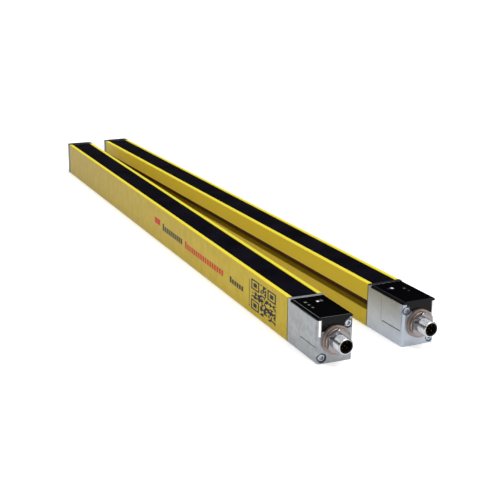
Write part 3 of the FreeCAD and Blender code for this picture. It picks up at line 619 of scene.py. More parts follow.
@dataclass(frozen=True)
class Finish:
    """A real surface finish.

    Args:
        name: plain name of the finish.
        colour: main colour, sRGB hex.
        shade: colour of its darker spots, sRGB hex.
        grain: size of those spots, mm.
        roughness: lowest and highest roughness.
        metallic: 1 for bare metal.
        specular: strength of the clear reflection of what isn't metal.
        relief: height of the fine surface relief, mm.
        relief_grain: size of that relief's features, mm.
        edge: radius of the softened edges, mm.
        clear: share of light let through.
        marks: what lies over the colour, from the lowest up.
        detail: how many finer layers the noise has.
        spot_range: noise values between which the colour turns to the shade.
        fine_range: noise values between which the roughness rises.
        relief_strength: strength of the relief.
    """

    name: str
    colour: str
    shade: str
    grain: float = 6.0
    roughness: tuple[float, float] = (0.4, 0.5)
    metallic: float = 0.0
    specular: float = 0.5
    relief: float = 0.01
    relief_grain: float = 0.6
    edge: float = 0.0
    clear: float = 0.0
    marks: tuple[Mark, ...] = ()
    detail: float = 3.0
    spot_range: tuple[float, float] = (0.35, 0.65)
    fine_range: tuple[float, float] = (0.3, 0.7)
    relief_strength: float = 0.6

    def tint(self, ground: Ground, colour: NodeSocket) -> NodeSocket:
        """Lays the finish's marks over its colour.

        Args:
            ground: what it is laid on.
            colour: the plain colour.

        Returns:
            The marked colour.
        """
        for mark in self.marks:
            colour = mark.over(ground, colour)
        return colour

    def glow(self, ground: Ground) -> dict[str, object]:
        """Sockets for a finish that gives light; a plain finish gives none."""
        return {}

    def material(self, bar: BarFrame) -> Material:
        """Builds the finish for one bar.

        Args:
            bar: its frame, which the patterns follow.

        Returns:
            The material.
        """
        made = bpy.data.materials.new(bar.node(self.name))
        tree = empty_tree(made)
        frame = ((*bar.end, 0.0), (0.0, 0.0, bar.yaw), (MM, MM, MM))
        place = add_node(tree, Kind.PLACE, add_node(tree, Kind.OBJECT), *frame)
        ground = Ground(bar, tree, place)
        spots = add_node(tree, Kind.NOISE, place, 1.0 / self.grain, self.detail)
        spots = add_node(tree, Kind.RANGE, spots, *self.spot_range, 0.0, 1.0)
        colour = add_node(tree, Kind.BLEND, spots, linear(self.colour), linear(self.shade))
        fine = add_node(tree, Kind.NOISE, place, 1.0 / self.relief_grain, self.detail)
        relief = {"Height": fine, "Distance": self.relief * MM, "Strength": self.relief_strength}
        if self.edge:
            relief["Normal"] = add_node(tree, Kind.SOFT_EDGE, self.edge * MM)
        sockets = {
            "Base Color": self.tint(ground, colour),
            "Roughness": add_node(tree, Kind.RANGE, fine, *self.fine_range, *self.roughness),
            "Normal": add_node(tree, Kind.BUMP, **relief),
            "Metallic": self.metallic,
        }
        if self.metallic < 1.0:
            sockets["Specular IOR Level"] = self.specular
        if self.clear:
            sockets["Transmission Weight"] = self.clear
        sockets.update(self.glow(ground))
        add_node(tree, Kind.OUTPUT, add_node(tree, Kind.SURFACE, **sockets))
        return made


@dataclass(frozen=True)
class PowderCoat(Finish):
    """Powder coat with painted highlights on the window lips, painted shade in the slot, and the
    receiver greyer towards its far end.

    Args:
        dull: colour that the receiver's sides take towards the far end, sRGB hex.
        dull_reach: where that starts and is full, mm along the bar.
        dull_share: share of it at the far end.
        slot: the side slot, whose inside is drawn dark brown as painted shade.
        slot_shade_rise: heights between which the slot's painted shade grows to full, mm.
        slot_shade_least: share of it at the lower one.
        lip_highlight: painted highlight on the window lips, a paler yellow where they face up into
            the light, sRGB hex.
        lip_highlight_slope: upward parts of the normal between which a face takes the painted
            highlight.
        lip_highlight_height: heights between which it does, mm.
    """

    dull: str = "A8925A"
    dull_reach: tuple[float, float] = (150.0, 640.0)
    dull_share: float = 0.45
    # painted shade: the slot's inside is the same yellow coat, drawn dark brown for the shade in it
    slot: Mark = Mark("522A0C", (11.0, 333.0, 17.7), (3.0, 330.0, 6.5), side=Side.SLOT)
    slot_shade_rise: tuple[float, float] = (13.4, 15.6)
    slot_shade_least: float = 0.55
    lip_highlight: str = "FBEA3E"
    lip_highlight_slope: tuple[float, float] = (0.75, 0.98)
    lip_highlight_height: tuple[float, float] = (33.0, 34.5)

    def tint(self, ground: Ground, colour: NodeSocket) -> NodeSocket:
        """Greys the receiver towards its far end, paints shade into the slot, and paints highlights
        on the lips.

        Args:
            ground: what it is laid on.
            colour: the plain colour.

        Returns:
            The marked colour.
        """
        tree, colour = ground.tree, super().tint(ground, colour)
        # the receiver turns greyer towards its far end
        if ground.bar.unit is Unit.RECEIVER:
            along = add_node(tree, Kind.Y, ground.place)
            share = add_node(tree, Kind.RANGE, along, *self.dull_reach, 0.0, self.dull_share)
            colour = add_node(tree, Kind.BLEND, share, colour, linear(self.dull))
        height = add_node(tree, Kind.Z, ground.place)
        # painted shade in the slot, lighter low down where its lower wall faces up into the light
        rise = add_node(tree, Kind.RANGE, height, *self.slot_shade_rise, self.slot_shade_least, 1.0)
        slot_shade = add_node(tree, Kind.MULTIPLY, self.slot.mask(ground), rise)
        colour = add_node(tree, Kind.BLEND, slot_shade, colour, linear(self.slot.colour))
        # painted highlight: upward faces near the top are drawn paler, as if lit from above
        upward = add_node(tree, Kind.Z, add_node(tree, Kind.NORMAL))
        upward = add_node(tree, Kind.RANGE, upward, *self.lip_highlight_slope, 0.0, 1.0)
        high = add_node(tree, Kind.RANGE, height, *self.lip_highlight_height, 0.0, 1.0)
        lips = add_node(tree, Kind.MULTIPLY, upward, high)
        return add_node(tree, Kind.BLEND, lips, colour, linear(self.lip_highlight))


@dataclass(frozen=True)
class Window(Finish):
    """Dark tinted window, blacker towards both long edges.

    Args:
        edge_dark: colour towards the long edges, sRGB hex.
        edge_band: distances from the middle between which it becomes full, mm.
    """

    edge_dark: str = "020203"
    edge_band: tuple[float, float] = (9.2, 9.8)

    def tint(self, ground: Ground, colour: NodeSocket) -> NodeSocket:
        """Darkens both long edges.

        Args:
            ground: what it is laid on.
            colour: the plain colour.

        Returns:
            The marked colour.
        """
        tree = ground.tree
        across = add_node(tree, Kind.UNSIGNED, add_node(tree, Kind.X, ground.place))
        edge = add_node(tree, Kind.RANGE, across, *self.edge_band, 0.0, 1.0)
        return add_node(tree, Kind.BLEND, edge, colour, linear(self.edge_dark))


@dataclass(frozen=True)
class Lamp(Mark):
    """A lamp that shows through the display cover.

    Args:
        light: strength of its light.
    """

    light: float = 0.0


@dataclass(frozen=True)
class DisplayGloss(Finish):
    """Glossy cover that the lamps behind it show through.

    Args:
        lamps: the lamps of both bars.
    """

    lamps: tuple[Lamp, ...] = ()

    def glow(self, ground: Ground) -> dict[str, object]:
        """Light of the bar's lamps on top of the cover.

        Args:
            ground: what it is laid on.

        Returns:
            The emission's colour and strength.
        """
        tree, colour, light = ground.tree, linear("000000"), 0.0
        for lamp in self.lamps:
            if lamp.unit is ground.bar.unit:
                mask = lamp.mask(ground)
                colour = add_node(tree, Kind.BLEND, mask, colour, linear(lamp.colour))
                share = add_node(tree, Kind.MULTIPLY, mask, lamp.light)
                light = add_node(tree, Kind.ADD, light, share)
        return {"Emission Color": colour, "Emission Strength": light}


# bar, place and half size across and along the cover in mm, colour, and light of each lamp
LAMPS = tuple(
    Lamp(colour, (x, y, FRONT_FACE), (half_x, half_y, LAMP_DEPTH), unit=unit, light=light)
    for unit, x, y, half_x, half_y, colour, light in (
        (Unit.RECEIVER, 2.4, 33.2, 1.0, 1.3, "F8F8F4", 0.95),
        (Unit.RECEIVER, 5.7, 33.9, 1.2, 1.8, "9098AC", 0.4),
        (Unit.RECEIVER, -7.2, 34.4, 1.1, 1.2, "A4B098", 0.5),
        (Unit.RECEIVER, -7.2, 28.5, 0.9, 1.1, "A0A49C", 0.45),
        (Unit.RECEIVER, -7.2, 22.4, 0.9, 1.1, "A0A49C", 0.45),
        (Unit.TRANSMITTER, -3.4, 32.4, 1.1, 1.3, "F8F8FF", 0.95),
        (Unit.TRANSMITTER, -6.2, 32.0, 1.3, 1.6, "3A4070", 0.4),
        (Unit.TRANSMITTER, 5.2, 28.2, 1.0, 1.1, "8A8A8E", 0.4),
        (Unit.TRANSMITTER, 5.2, 22.4, 0.8, 0.9, "70707C", 0.3),
    )
)

# painted highlights: light lines along the left and the front edge of the cover, where its bevels
# catch the light, brighter on the receiver
COVER_HIGHLIGHTS = tuple(
    Mark(colour, centre, half, unit=unit)
    for unit, colour in ((Unit.RECEIVER, "727276"), (Unit.TRANSMITTER, "3E3E42"))
    for centre, half in (
        ((-12.9, 22.5, 35.0), (0.3, 21.5, 0.6)),
        ((0.0, 0.7, 35.0), (12.0, 0.3, 0.6)),
    )
)

CASTING_TONES_AND_LIGHT = (
    # painted light: the transmitter's casting, the same metal, is drawn paler for the light it
    # catches
    Mark("C6CFDC", share=0.5, unit=Unit.TRANSMITTER),
    # painted shade: dark lines at the steps under and behind the raised side panels, where their
    # shadow falls
    Mark("4E5052", (14.7, 15.0, 12.5), (0.3, 12.5, 0.6), side=Side.BOTH),
    Mark("4E5052", (14.7, 28.9, 21.5), (0.3, 0.6, 8.5), share=0.5, side=Side.BOTH),
    # rim between the cover and the window, the same metal on both bars: a painted highlight on the
    # receiver and painted shade on the transmitter
    Mark("C4C6CC", (0.0, 46.8, FRONT_FACE), (15.0, 1.8, 0.5), unit=Unit.RECEIVER),
    Mark("34343A", (0.0, 46.8, FRONT_FACE), (15.0, 1.8, 0.5), unit=Unit.TRANSMITTER),
    # warm boss round the plug connector
    Mark("93837C", (0.0, -1.3, 17.7), (11.3, 1.25, 11.3)),
    # painted highlight on the rounded corner away from the slot, where it catches the light
    Mark("FFFDF4", (-12.7, 0.6, 28.0), (0.75, 0.8, 7.0), side=Side.SLOT),
)

# Sizes of spots and relief are in millimetres. The grain of blasting, turning and plating is
# under 0.1 mm, too fine to show, and is drawn 0.25 mm to 0.4 mm across.
FINISHES = {
    # satin powder coat on extruded aluminium: warm even yellow, with a fine orange peel
    "yellow_coat": PowderCoat(
        "powder_coated_aluminium", "F0D23C", "E6C631", 9.0, (0.42, 0.55), specular=0.2,
        relief=0.012, relief_grain=0.5, edge=0.4,
        # painted light: the transmitter's coat, the same paint, is drawn paler to make up for the
        # shade that the receiver casts on it
        marks=(Mark("FFE43C", share=0.85, unit=Unit.TRANSMITTER),),
    ),
    # polished tinted acrylic: almost black with a violet cast
    "window": Window(
        "tinted_acrylic", "16151F", "0C0B12", 30.0, (0.1, 0.16), specular=0.12, relief=0.001,
    ),
    # blasted aluminium die casting: soft grey sheen with bright edges
    "die_cast": Finish(
        "blasted_die_casting", "A0A3A7", "8F9397", 4.0, (0.32, 0.44), metallic=0.8, relief=0.015,
        relief_grain=0.4, edge=0.5, marks=CASTING_TONES_AND_LIGHT,
    ),
    # the same casting, duller and greener, with a dark inlay in line with the window
    "far_cap": Finish(
        "dulled_die_casting", "7C8278", "6C7268", 4.0, (0.42, 0.55), metallic=0.55, relief=0.015,
        relief_grain=0.4, edge=0.4,
        marks=(Mark("16161A", (0.0, 661.0, FRONT_FACE), (10.7, 5.0, 0.3)),),
    ),
    # polished dark plastic: black with sharp reflections along its bevels, painted in as light
    # lines on its left and front edges
    "cover": DisplayGloss(
        "polished_plastic", "070709", "040406", 20.0, (0.06, 0.1), specular=0.15,
        relief=0.001, edge=0.3, marks=COVER_HIGHLIGHTS, lamps=LAMPS,
    ),
    # moulded rubber: dull dark purple-grey
    "gasket": Finish(
        "moulded_rubber", "2A262E", "1E1B22", 2.0, (0.7, 0.85), specular=0.2, relief=0.02,
    ),
    # zinc-plated screws: bright with a slight blue cast
    "screw_steel": Finish(
        "zinc_plated_steel", "B9BEC6", "969CA6", 1.5, (0.2, 0.3), metallic=1.0, relief=0.006,
        relief_grain=0.25,
    ),
    # nickel-plated turned brass: near mirror, and darker over the milled hexagon
    "plated_brass": Finish(
        "nickel_plated_brass", "C2C3C6", "ADAEB2", 3.0, (0.1, 0.16), metallic=1.0,
        relief=0.003, relief_grain=0.3, edge=0.15,
        marks=(Mark("8A888B", (0.0, -5.1, 17.7), (11.0, 1.4, 11.0)),),
    ),
    # plated steel washer: softer and warmer than the sleeve
    "washer_steel": Finish(
        "plated_steel", "A59C96", "8F8781", 2.0, (0.25, 0.35), metallic=1.0, relief=0.006,
        relief_grain=0.3,
    ),
    # moulded black plastic: matt, no sparkle
    "contact_carrier": Finish(
        "moulded_black_plastic", "0A0A0B", "121214", 2.0, (0.5, 0.6), specular=0.15, relief=0.01,
    ),
    # gold plate on the contacts: dull in the shade of the sleeve
    "gold_contact": Finish(
        "gold_plate", "6E5426", "54401C", 1.0, (0.35, 0.45), metallic=1.0, relief=0.002,
    ),
    # solder mask over glass laminate: mottled green
    "circuit_board": Finish("solder_mask", "1F6040", "174B32", 3.0, (0.3, 0.42), relief=0.03),
    # moulded light guides: milky
    "lamp": Finish(
        "light_guide_plastic", "C8C8D2", "B4B4C0", 1.0, (0.3, 0.4), relief=0.004, clear=0.3,
    ),
    # flexible plastic of the flat ribbon: pale grey
    "ribbon": Finish("ribbon_plastic", "C9C6BC", "B5B2A8", 1.3, (0.45, 0.55), relief=0.03),
    # moulded dark plastic of the diodes: plum, glassy
    "diode": Finish("smoked_plastic", "2B1A2C", "1D121E", 1.0, (0.12, 0.2), relief=0.002),
    # moulded plastic of the optics carrier, which traps light: flat black
    "optics_black": Finish(
        "light_trap_plastic", "141416", "0D0D0F", 2.5, (0.65, 0.8), specular=0.15,
    ),
    # clear moulded plastic of the lens row: faint blue
    "lens": Finish(
        "clear_lens_plastic", "D6DEE4", "C6CFD6", 10.0, (0.05, 0.1), relief=0.001, clear=0.7,
    ),
}


@dataclass
class Palette:
    """The finishes of one bar, each made once.

    Args:
        bar: the bar's frame.
        made: materials made so far, by slot.
    """

    bar: BarFrame
    made: dict[str, Material]

    def material(self, slot: str) -> Material:
        """The bar's material for a slot of the record.

        Args:
            slot: the slot's name.

        Returns:
            The material, made the first time that it is asked for.
        """
        if slot not in self.made:
            self.made[slot] = FINISHES[slot].material(self.bar)
        return self.made[slot]


# ---------------------------------------------------------------- sub-assemblies


@dataclass
class Carcass:
    """The carried-over CAD nodes of one bar.

    Args:
        bar: the bar's frame.
        palette: its finishes.
        nodes: all CAD objects by name.
        slots: the record's slot of each node.
    """

    bar: BarFrame
    palette: Palette
    nodes: dict[str, Object]
    slots: dict[str, str]

    def dress(self) -> list[Object]:
        """Gives each CAD node of the bar its finish.

        Returns:
            The nodes of the bar.
        """
        dressed = []
        for name, node in self.nodes.items():
            if name.startswith(self.bar.unit.value):
                for slot in node.material_slots:
                    slot.material = self.palette.material(self.slots[name])
                dressed.append(node)
        return dressed


@dataclass
class PlugConnector:
    """Sleeve, hexagon, washer, dark lining and contacts of the connector; the lining paints the
    shade in the sleeve.

    Args:
        bar: the bar's frame.
        palette: its finishes.
        sizes: the connector's lengths.
    """

    bar: BarFrame
    palette: Palette
    sizes: ConnectorSizes

    def build(self) -> list[Object]:
        """Makes the connector's pieces in place of the plain CAD ones.

        Returns:
            The pieces.
        """
        shell = Shape.joined([self.sleeve(), self.hexagon(), self.shank()])
        return [
            self.add("threaded_shell", shell, "plated_brass", "connector_shell"),
            self.add("rounded_washer", self.washer(), "washer_steel", "connector_washer"),
            # painted shade: a black lining inside the bare metal sleeve
            self.add("keyed_shade_lining", self.lining(), "contact_carrier"),
            self.add("round_contacts", self.contacts(), "gold_contact", "connector_pins"),
        ]

    def add(self, name: str, shape: Shape, slot: str, stands_for: str | None = None) -> Object:
        """Makes a piece about the connector's axis."""
        shape = shape.moved(0.0, 0.0, self.sizes.axis)
        return make_piece(self.bar, name, shape, self.palette.material(slot), stands_for)

    def bored(self, along: np.ndarray, radius: np.ndarray) -> Shape:
        """Closes an outside with the sleeve's bore, from its last row back to its first.

        Args:
            along: distances of the outside's rows.
            radius: its radii, one for each row and column.

        Returns:
            The closed surface.
        """
        bore = np.full((2, radius.shape[1]), self.sizes.bore_radius)
        rows = np.concatenate((along, (along[-1], along[0])))
        return revolve(rows, np.vstack((radius, bore)), ring=True)

    def sleeve(self) -> Shape:
        """Threaded tube.

        The outer radius is the sleeve's radius less the thread depth times a triangle wave
        of (distance along / pitch + angle / full turn). The wave starts half a pitch in from
        each end and is full a pitch further on. At the mouth the radius is also less by the
        chamfer, which runs out evenly over its length.

        Returns:
            The closed surface.
        """
        size = self.sizes
        outer = np.linspace(size.hexagon_front, size.mouth, size.thread_rows)
        turn = np.linspace(0.0, 1.0, size.tube_steps, endpoint=False)
        phase = outer[:, None] / size.thread_pitch + turn[None]
        wave = np.abs(2.0 * (phase - np.floor(phase)) - 1.0)
        ends = np.minimum(outer - size.mouth, size.hexagon_front - outer) / size.thread_pitch
        fade = np.clip(ends - 0.5, 0.0, 1.0)[:, None]
        run_out = np.clip(1.0 - (outer - size.mouth) / size.chamfer_length, 0.0, 1.0)[:, None]
        radius = size.sleeve_radius - size.thread_depth * wave * fade - size.chamfer * run_out
        return self.bored(outer, radius)

    def hexagon(self) -> Shape:
        """Hexagon with turned corners.

        The radius is half the width over the cosine of the angle from the nearest flat's
        middle, but never more than a cone that starts inside the corner radius at each face
        and grows with the depth below that face.

        Returns:
            The closed surface.
        """
        size, flat = self.sizes, math.pi / 3.0
        angle = np.linspace(0.0, 2.0 * math.pi, size.hexagon_steps, endpoint=False)
        from_flat = (angle + 0.5 * flat) % flat - 0.5 * flat
        flats = size.hexagon_half / np.cos(from_flat)
        along = np.linspace(size.hexagon_back, size.hexagon_front, size.hexagon_rows)
        depth = np.minimum(size.hexagon_back - along, along - size.hexagon_front)
        cone = size.hexagon_corner + size.cone_slope * depth[:, None] - size.cone_inset
        return self.bored(along, np.minimum(flats[None], cone))

    def shank(self) -> Shape:
        """Plain tube through the washer and the end wall.

        Returns:
            The closed surface, whose rows go along the outside and back along the bore.
        """
        size = self.sizes
        along = np.array((size.hexagon_back, size.shank_end, size.shank_end, size.hexagon_back))
        radius = np.repeat((size.sleeve_radius, size.bore_radius), 2)
        return turned(along, radius, size.shank_steps, ring=True)

    def washer(self) -> Shape:
        """Washer with rounded outer edges.

        The outer edges are quarter circles, each point being the arc's centre plus its
        radius times the cosine and the sine of the angle.

        Returns:
            The closed surface.
        """
        size = self.sizes
        turn = np.linspace(0.0, math.pi / 2.0, size.washer_edge_steps)
        centre = size.washer_radius - size.washer_edge
        front = size.hexagon_back + size.washer_edge - size.washer_edge * np.cos(turn)
        back = size.boss_face - size.washer_edge + size.washer_edge * np.cos(turn[::-1])
        outer = centre + size.washer_edge * np.sin(turn)
        along = np.concatenate((front, back, (size.boss_face, size.hexagon_back)))
        radius = np.concatenate((outer, outer[::-1], (size.washer_bore, size.washer_bore)))
        return turned(along, radius, size.tube_steps, ring=True)

    def lining(self) -> Shape:
        """Black lining inside the sleeve, with its key at the top: painted shade over a bore that
        is bare metal.

        The inner radius steps in by the key's depth where the angle is within half the key's
        width of the top.

        Returns:
            The closed surface.
        """
        size, top = self.sizes, 90.0
        angle = np.linspace(0.0, 360.0, size.tube_steps, endpoint=False)
        key = size.key_depth * (np.abs(angle - top) < size.key_half_width)
        outer = np.full(angle.size, size.bore_radius - size.lining_gap)
        inner = size.lining_radius - key
        front, back = size.mouth + size.lining_setback, size.insert_face - size.lining_joint
        along = np.array((back, front, front, back))
        return revolve(along, np.vstack((outer, outer, inner, inner)), ring=True)

    def contacts(self) -> Shape:
        """Round pins with domed tips, one in the middle and four evenly round it.

        A tip is a quarter circle: at each angle it stands the pin's radius times 1 - cosine
        behind its point and is the pin's radius times the sine wide.

        Returns:
            The pins as one surface.
        """
        size = self.sizes
        turn = np.linspace(0.0, math.pi / 2.0, size.pin_tip_steps)
        tip = size.pin_tip + size.pin_radius * (1.0 - np.cos(turn))
        along = np.concatenate((tip, (size.pin_end, size.pin_end)))
        radius = np.concatenate((size.pin_radius * np.sin(turn), (size.pin_radius, 0.0)))
        pin = turned(along, radius, size.pin_steps, ring=False)
        angles = math.pi / 4.0 + math.pi / 2.0 * np.arange(4)
        ring = [(size.pin_circle * math.cos(a), size.pin_circle * math.sin(a)) for a in angles]
        return Shape.joined([pin.moved(x, 0.0, z) for x, z in [(0.0, 0.0), *ring]])


@dataclass
class CapScrews:
    """The two screws of a cap.

    Args:
        bar: the bar's frame.
        palette: its finishes.
        sizes: the screws' lengths.
        node: short name of the CAD node.
        head_out: -1 where the heads face back past the end face, +1 at the far end.
    """

    bar: BarFrame
    palette: Palette
    sizes: ScrewSizes
    node: str
    head_out: int

    def build(self) -> list[Object]:
        """Makes both screws in place of the plain CAD ones.

        Returns:
            The one piece that holds both.
        """
        low, high = self.reach()
        head, tail = (low, high) if self.head_out < 0 else (high, low)
        screw = self.screw(head, tail)
        size, hand = self.sizes, self.bar.hand
        places = [(hand * size.across, size.front_height), (-hand * size.across, size.back_height)]
        shape = Shape.joined([screw.moved(x, 0.0, z) for x, z in places])
        steel = self.palette.material("screw_steel")
        name = f"recessed_{self.node}"
        return [make_piece(self.bar, name, shape, steel, self.node)]

    def reach(self) -> tuple[float, float]:
        """Finds the screws on the receiver, which the transmitter's match.

        Returns:
            Their nearest and farthest end along the bar, mm.
        """
        end_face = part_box("receiver_display_cover")[0][1]
        low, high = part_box(f"receiver_{self.node}")
        return (low[1] - end_face) / MM, (high[1] - end_face) / MM

    def screw(self, head: float, tail: float) -> Shape:
        """A pan head with a lobed recess, and its shank.

        The recess radius is the drive radius times 1 + lobe share * cos(lobes * angle), and
        narrows to its floor. The head's edge is a quarter circle.

        Args:
            head: outer face of the head along the bar, mm.
            tail: end of the shank along the bar, mm.

        Returns:
            The closed surface.
        """
        size = self.sizes
        angle = np.linspace(0.0, 2.0 * math.pi, size.round_steps, endpoint=False)
        inward = float(np.sign(tail - head))
        recess = size.drive_radius * (1.0 + size.lobe_share * np.cos(size.lobes * angle))
        turn = np.linspace(0.0, math.pi / 2.0, size.head_edge_steps)
        edge = size.head_radius - size.head_edge * (1.0 - np.sin(turn))
        drop = size.head_edge * (1.0 - np.cos(turn))
        recess_depths = (size.drive_depth, size.drive_depth, 0.0)
        depths = [*recess_depths, *drop, size.head_height, size.head_height]
        along = np.array([head + inward * depth for depth in depths] + [tail, tail])
        plain = [*edge, size.head_radius, size.shank_radius, size.shank_radius, 0.0]
        rows = [0.0 * recess, size.floor_share * recess, recess]
        rows += [np.full(angle.size, radius) for radius in plain]
        return revolve(along, np.vstack(rows), ring=False)


@dataclass(frozen=True)
class PrintField:
    """A field of printed marks on the side of a bar, the last of each line standing taller.

    Args:
        name: its short name.
        colour: sRGB hex.
        start: where it starts along the bar, mm.
        end: where it ends along the bar, mm.
        low: lower edge, mm.
        high: upper edge, mm.
        rows: number of lines.
        pitch: length of a mark and its gap, mm.
        fill: share of the pitch and of the line height that a tall mark takes.
        short: height of the other marks as a share of a tall one.
        all_tall: number of marks in a line under which all are tall.
    """

    name: str
    colour: str
    start: float
    end: float
    low: float
    high: float
    rows: int
    pitch: float
    fill: tuple[float, float]
    short: float = 0.76
    all_tall: int = 5

    def marks(self) -> tuple[np.ndarray, np.ndarray]:
        """Lays out the marks, which stand on the foot of their line.

        Mark i of line j has its middle at start + (i + 1/2) * pitch along the bar, and at
        low + j * line height + half its own height.

        Returns:
            Middles and half sizes of the marks, along and up.
        """
        count = max(int((self.end - self.start) / self.pitch), 1)
        line = (self.high - self.low) / self.rows
        i, j = np.meshgrid(np.arange(count), np.arange(self.rows), indexing="ij")
        i, j = i.ravel(), j.ravel()
        tall = (i == count - 1) | (count < self.all_tall)
        half_height = np.where(tall, 1.0, self.short) * 0.5 * line * self.fill[1]
        along = self.start + (i + 0.5) * self.pitch
        up = self.low + j * line + half_height
        half_length = np.full(along.size, 0.5 * self.pitch * self.fill[0])
        return np.column_stack((along, up)), np.column_stack((half_length, half_height))


PRINT_FIELDS = (
    PrintField("print_small", "100E0A", 131.0, 160.0, 13.6, 19.0, 1, 4.8, (0.74, 1.0)),
    PrintField("print_red", "E23A22", 173.0, 266.0, 13.8, 20.8, 1, 5.4, (0.74, 1.0)),
    PrintField("print_black", "100E0A", 271.0, 326.0, 15.0, 22.0, 1, 5.4, (0.72, 1.0)),
    PrintField("print_mark", "E23A22", 330.0, 348.0, 17.6, 23.4, 1, 18.0, (0.9, 1.0)),
    PrintField("print_column", "2A2620", 118.0, 120.2, 6.0, 29.0, 12, 2.2, (0.7, 0.55)),
)


@dataclass
class SidePrint:
    """Generic print on the plain side of the receiver.

    Args:
        bar: the bar's frame.
        side: the side's place across the bar, mm.
        proud: how far the ink stands off it, mm.
        cells: number of cells along and up the code.
        code_start: near lower corner of the code, along and up, mm.
        cell: size of a cell, along and up, mm.
        cell_fill: half an inked cell as a share of its size.
        scatter: the factor and the two steps of the code's filling.
        inked: share of the filling that is inked.
    """

    bar: BarFrame
    side: float
    proud: float = 0.03
    cells: int = 21
    code_start: tuple[float, float] = (69.5, 5.2)
    cell: tuple[float, float] = (2.19, 1.21)
    cell_fill: float = 0.49
    scatter: tuple[float, float, float] = (437.5, 12.99, 78.23)
    inked: float = 0.6

    def build(self) -> list[Object]:
        """Lays every field and the square-cell code on the side.

        Returns:
            The fields of ink.
        """
        fields = [self.lay(field.name, field.colour, *field.marks()) for field in PRINT_FIELDS]
        return [*fields, self.lay("print_code", "0C0A08", *self.code())]

    def code(self) -> tuple[np.ndarray, np.ndarray]:
        """A made-up code of cells with a target in three of its corners.

        Cell (i, j) is inked where the fraction of factor * sin(step * i + step * j) is under
        the inked share. A target is inked where the greater of its distances from its middle
        is 3, or at most 1, and it has a clear ring outside that.

        Returns:
            Middles and half sizes of the inked cells, along and up.
        """
        i, j = np.meshgrid(np.arange(self.cells), np.arange(self.cells), indexing="ij")
        factor, step_along, step_up = self.scatter
        keep = factor * np.sin(step_along * i + step_up * j) % 1.0 < self.inked
        near, far = 3, self.cells - 4
        for across, up in ((near, far), (far, far), (far, near)):
            away = np.maximum(np.abs(i - across), np.abs(j - up))
            keep = np.where(away <= 4, (away == 3) | (away <= 1), keep)
        cell = np.array(self.cell)
        places = np.array(self.code_start) + (np.column_stack((i[keep], j[keep])) + 0.5) * cell
        return places, np.tile(self.cell_fill * cell, (len(places), 1))

    def lay(self, name: str, colour: str, places: np.ndarray, halves: np.ndarray) -> Object:
        """Makes one field of ink.

        Args:
            name: its short name.
            colour: sRGB hex.
            places: middles of the marks along and up.
            halves: half sizes of the marks along and up.

        Returns:
            The piece.
        """
        thick = 0.5 * self.proud
        across = np.full(len(places), self.side - thick)
        centres = np.column_stack((across, places))
        sizes = np.column_stack((np.full(len(places), thick), halves))
        ink = Finish(name, colour, colour, 3.0, (0.45, 0.6), specular=0.2, relief=0.004)
        shape = cuboids(centres, sizes)
        return make_piece(self.bar, name, shape, ink.material(self.bar))


# ---------------------------------------------------------------- studio


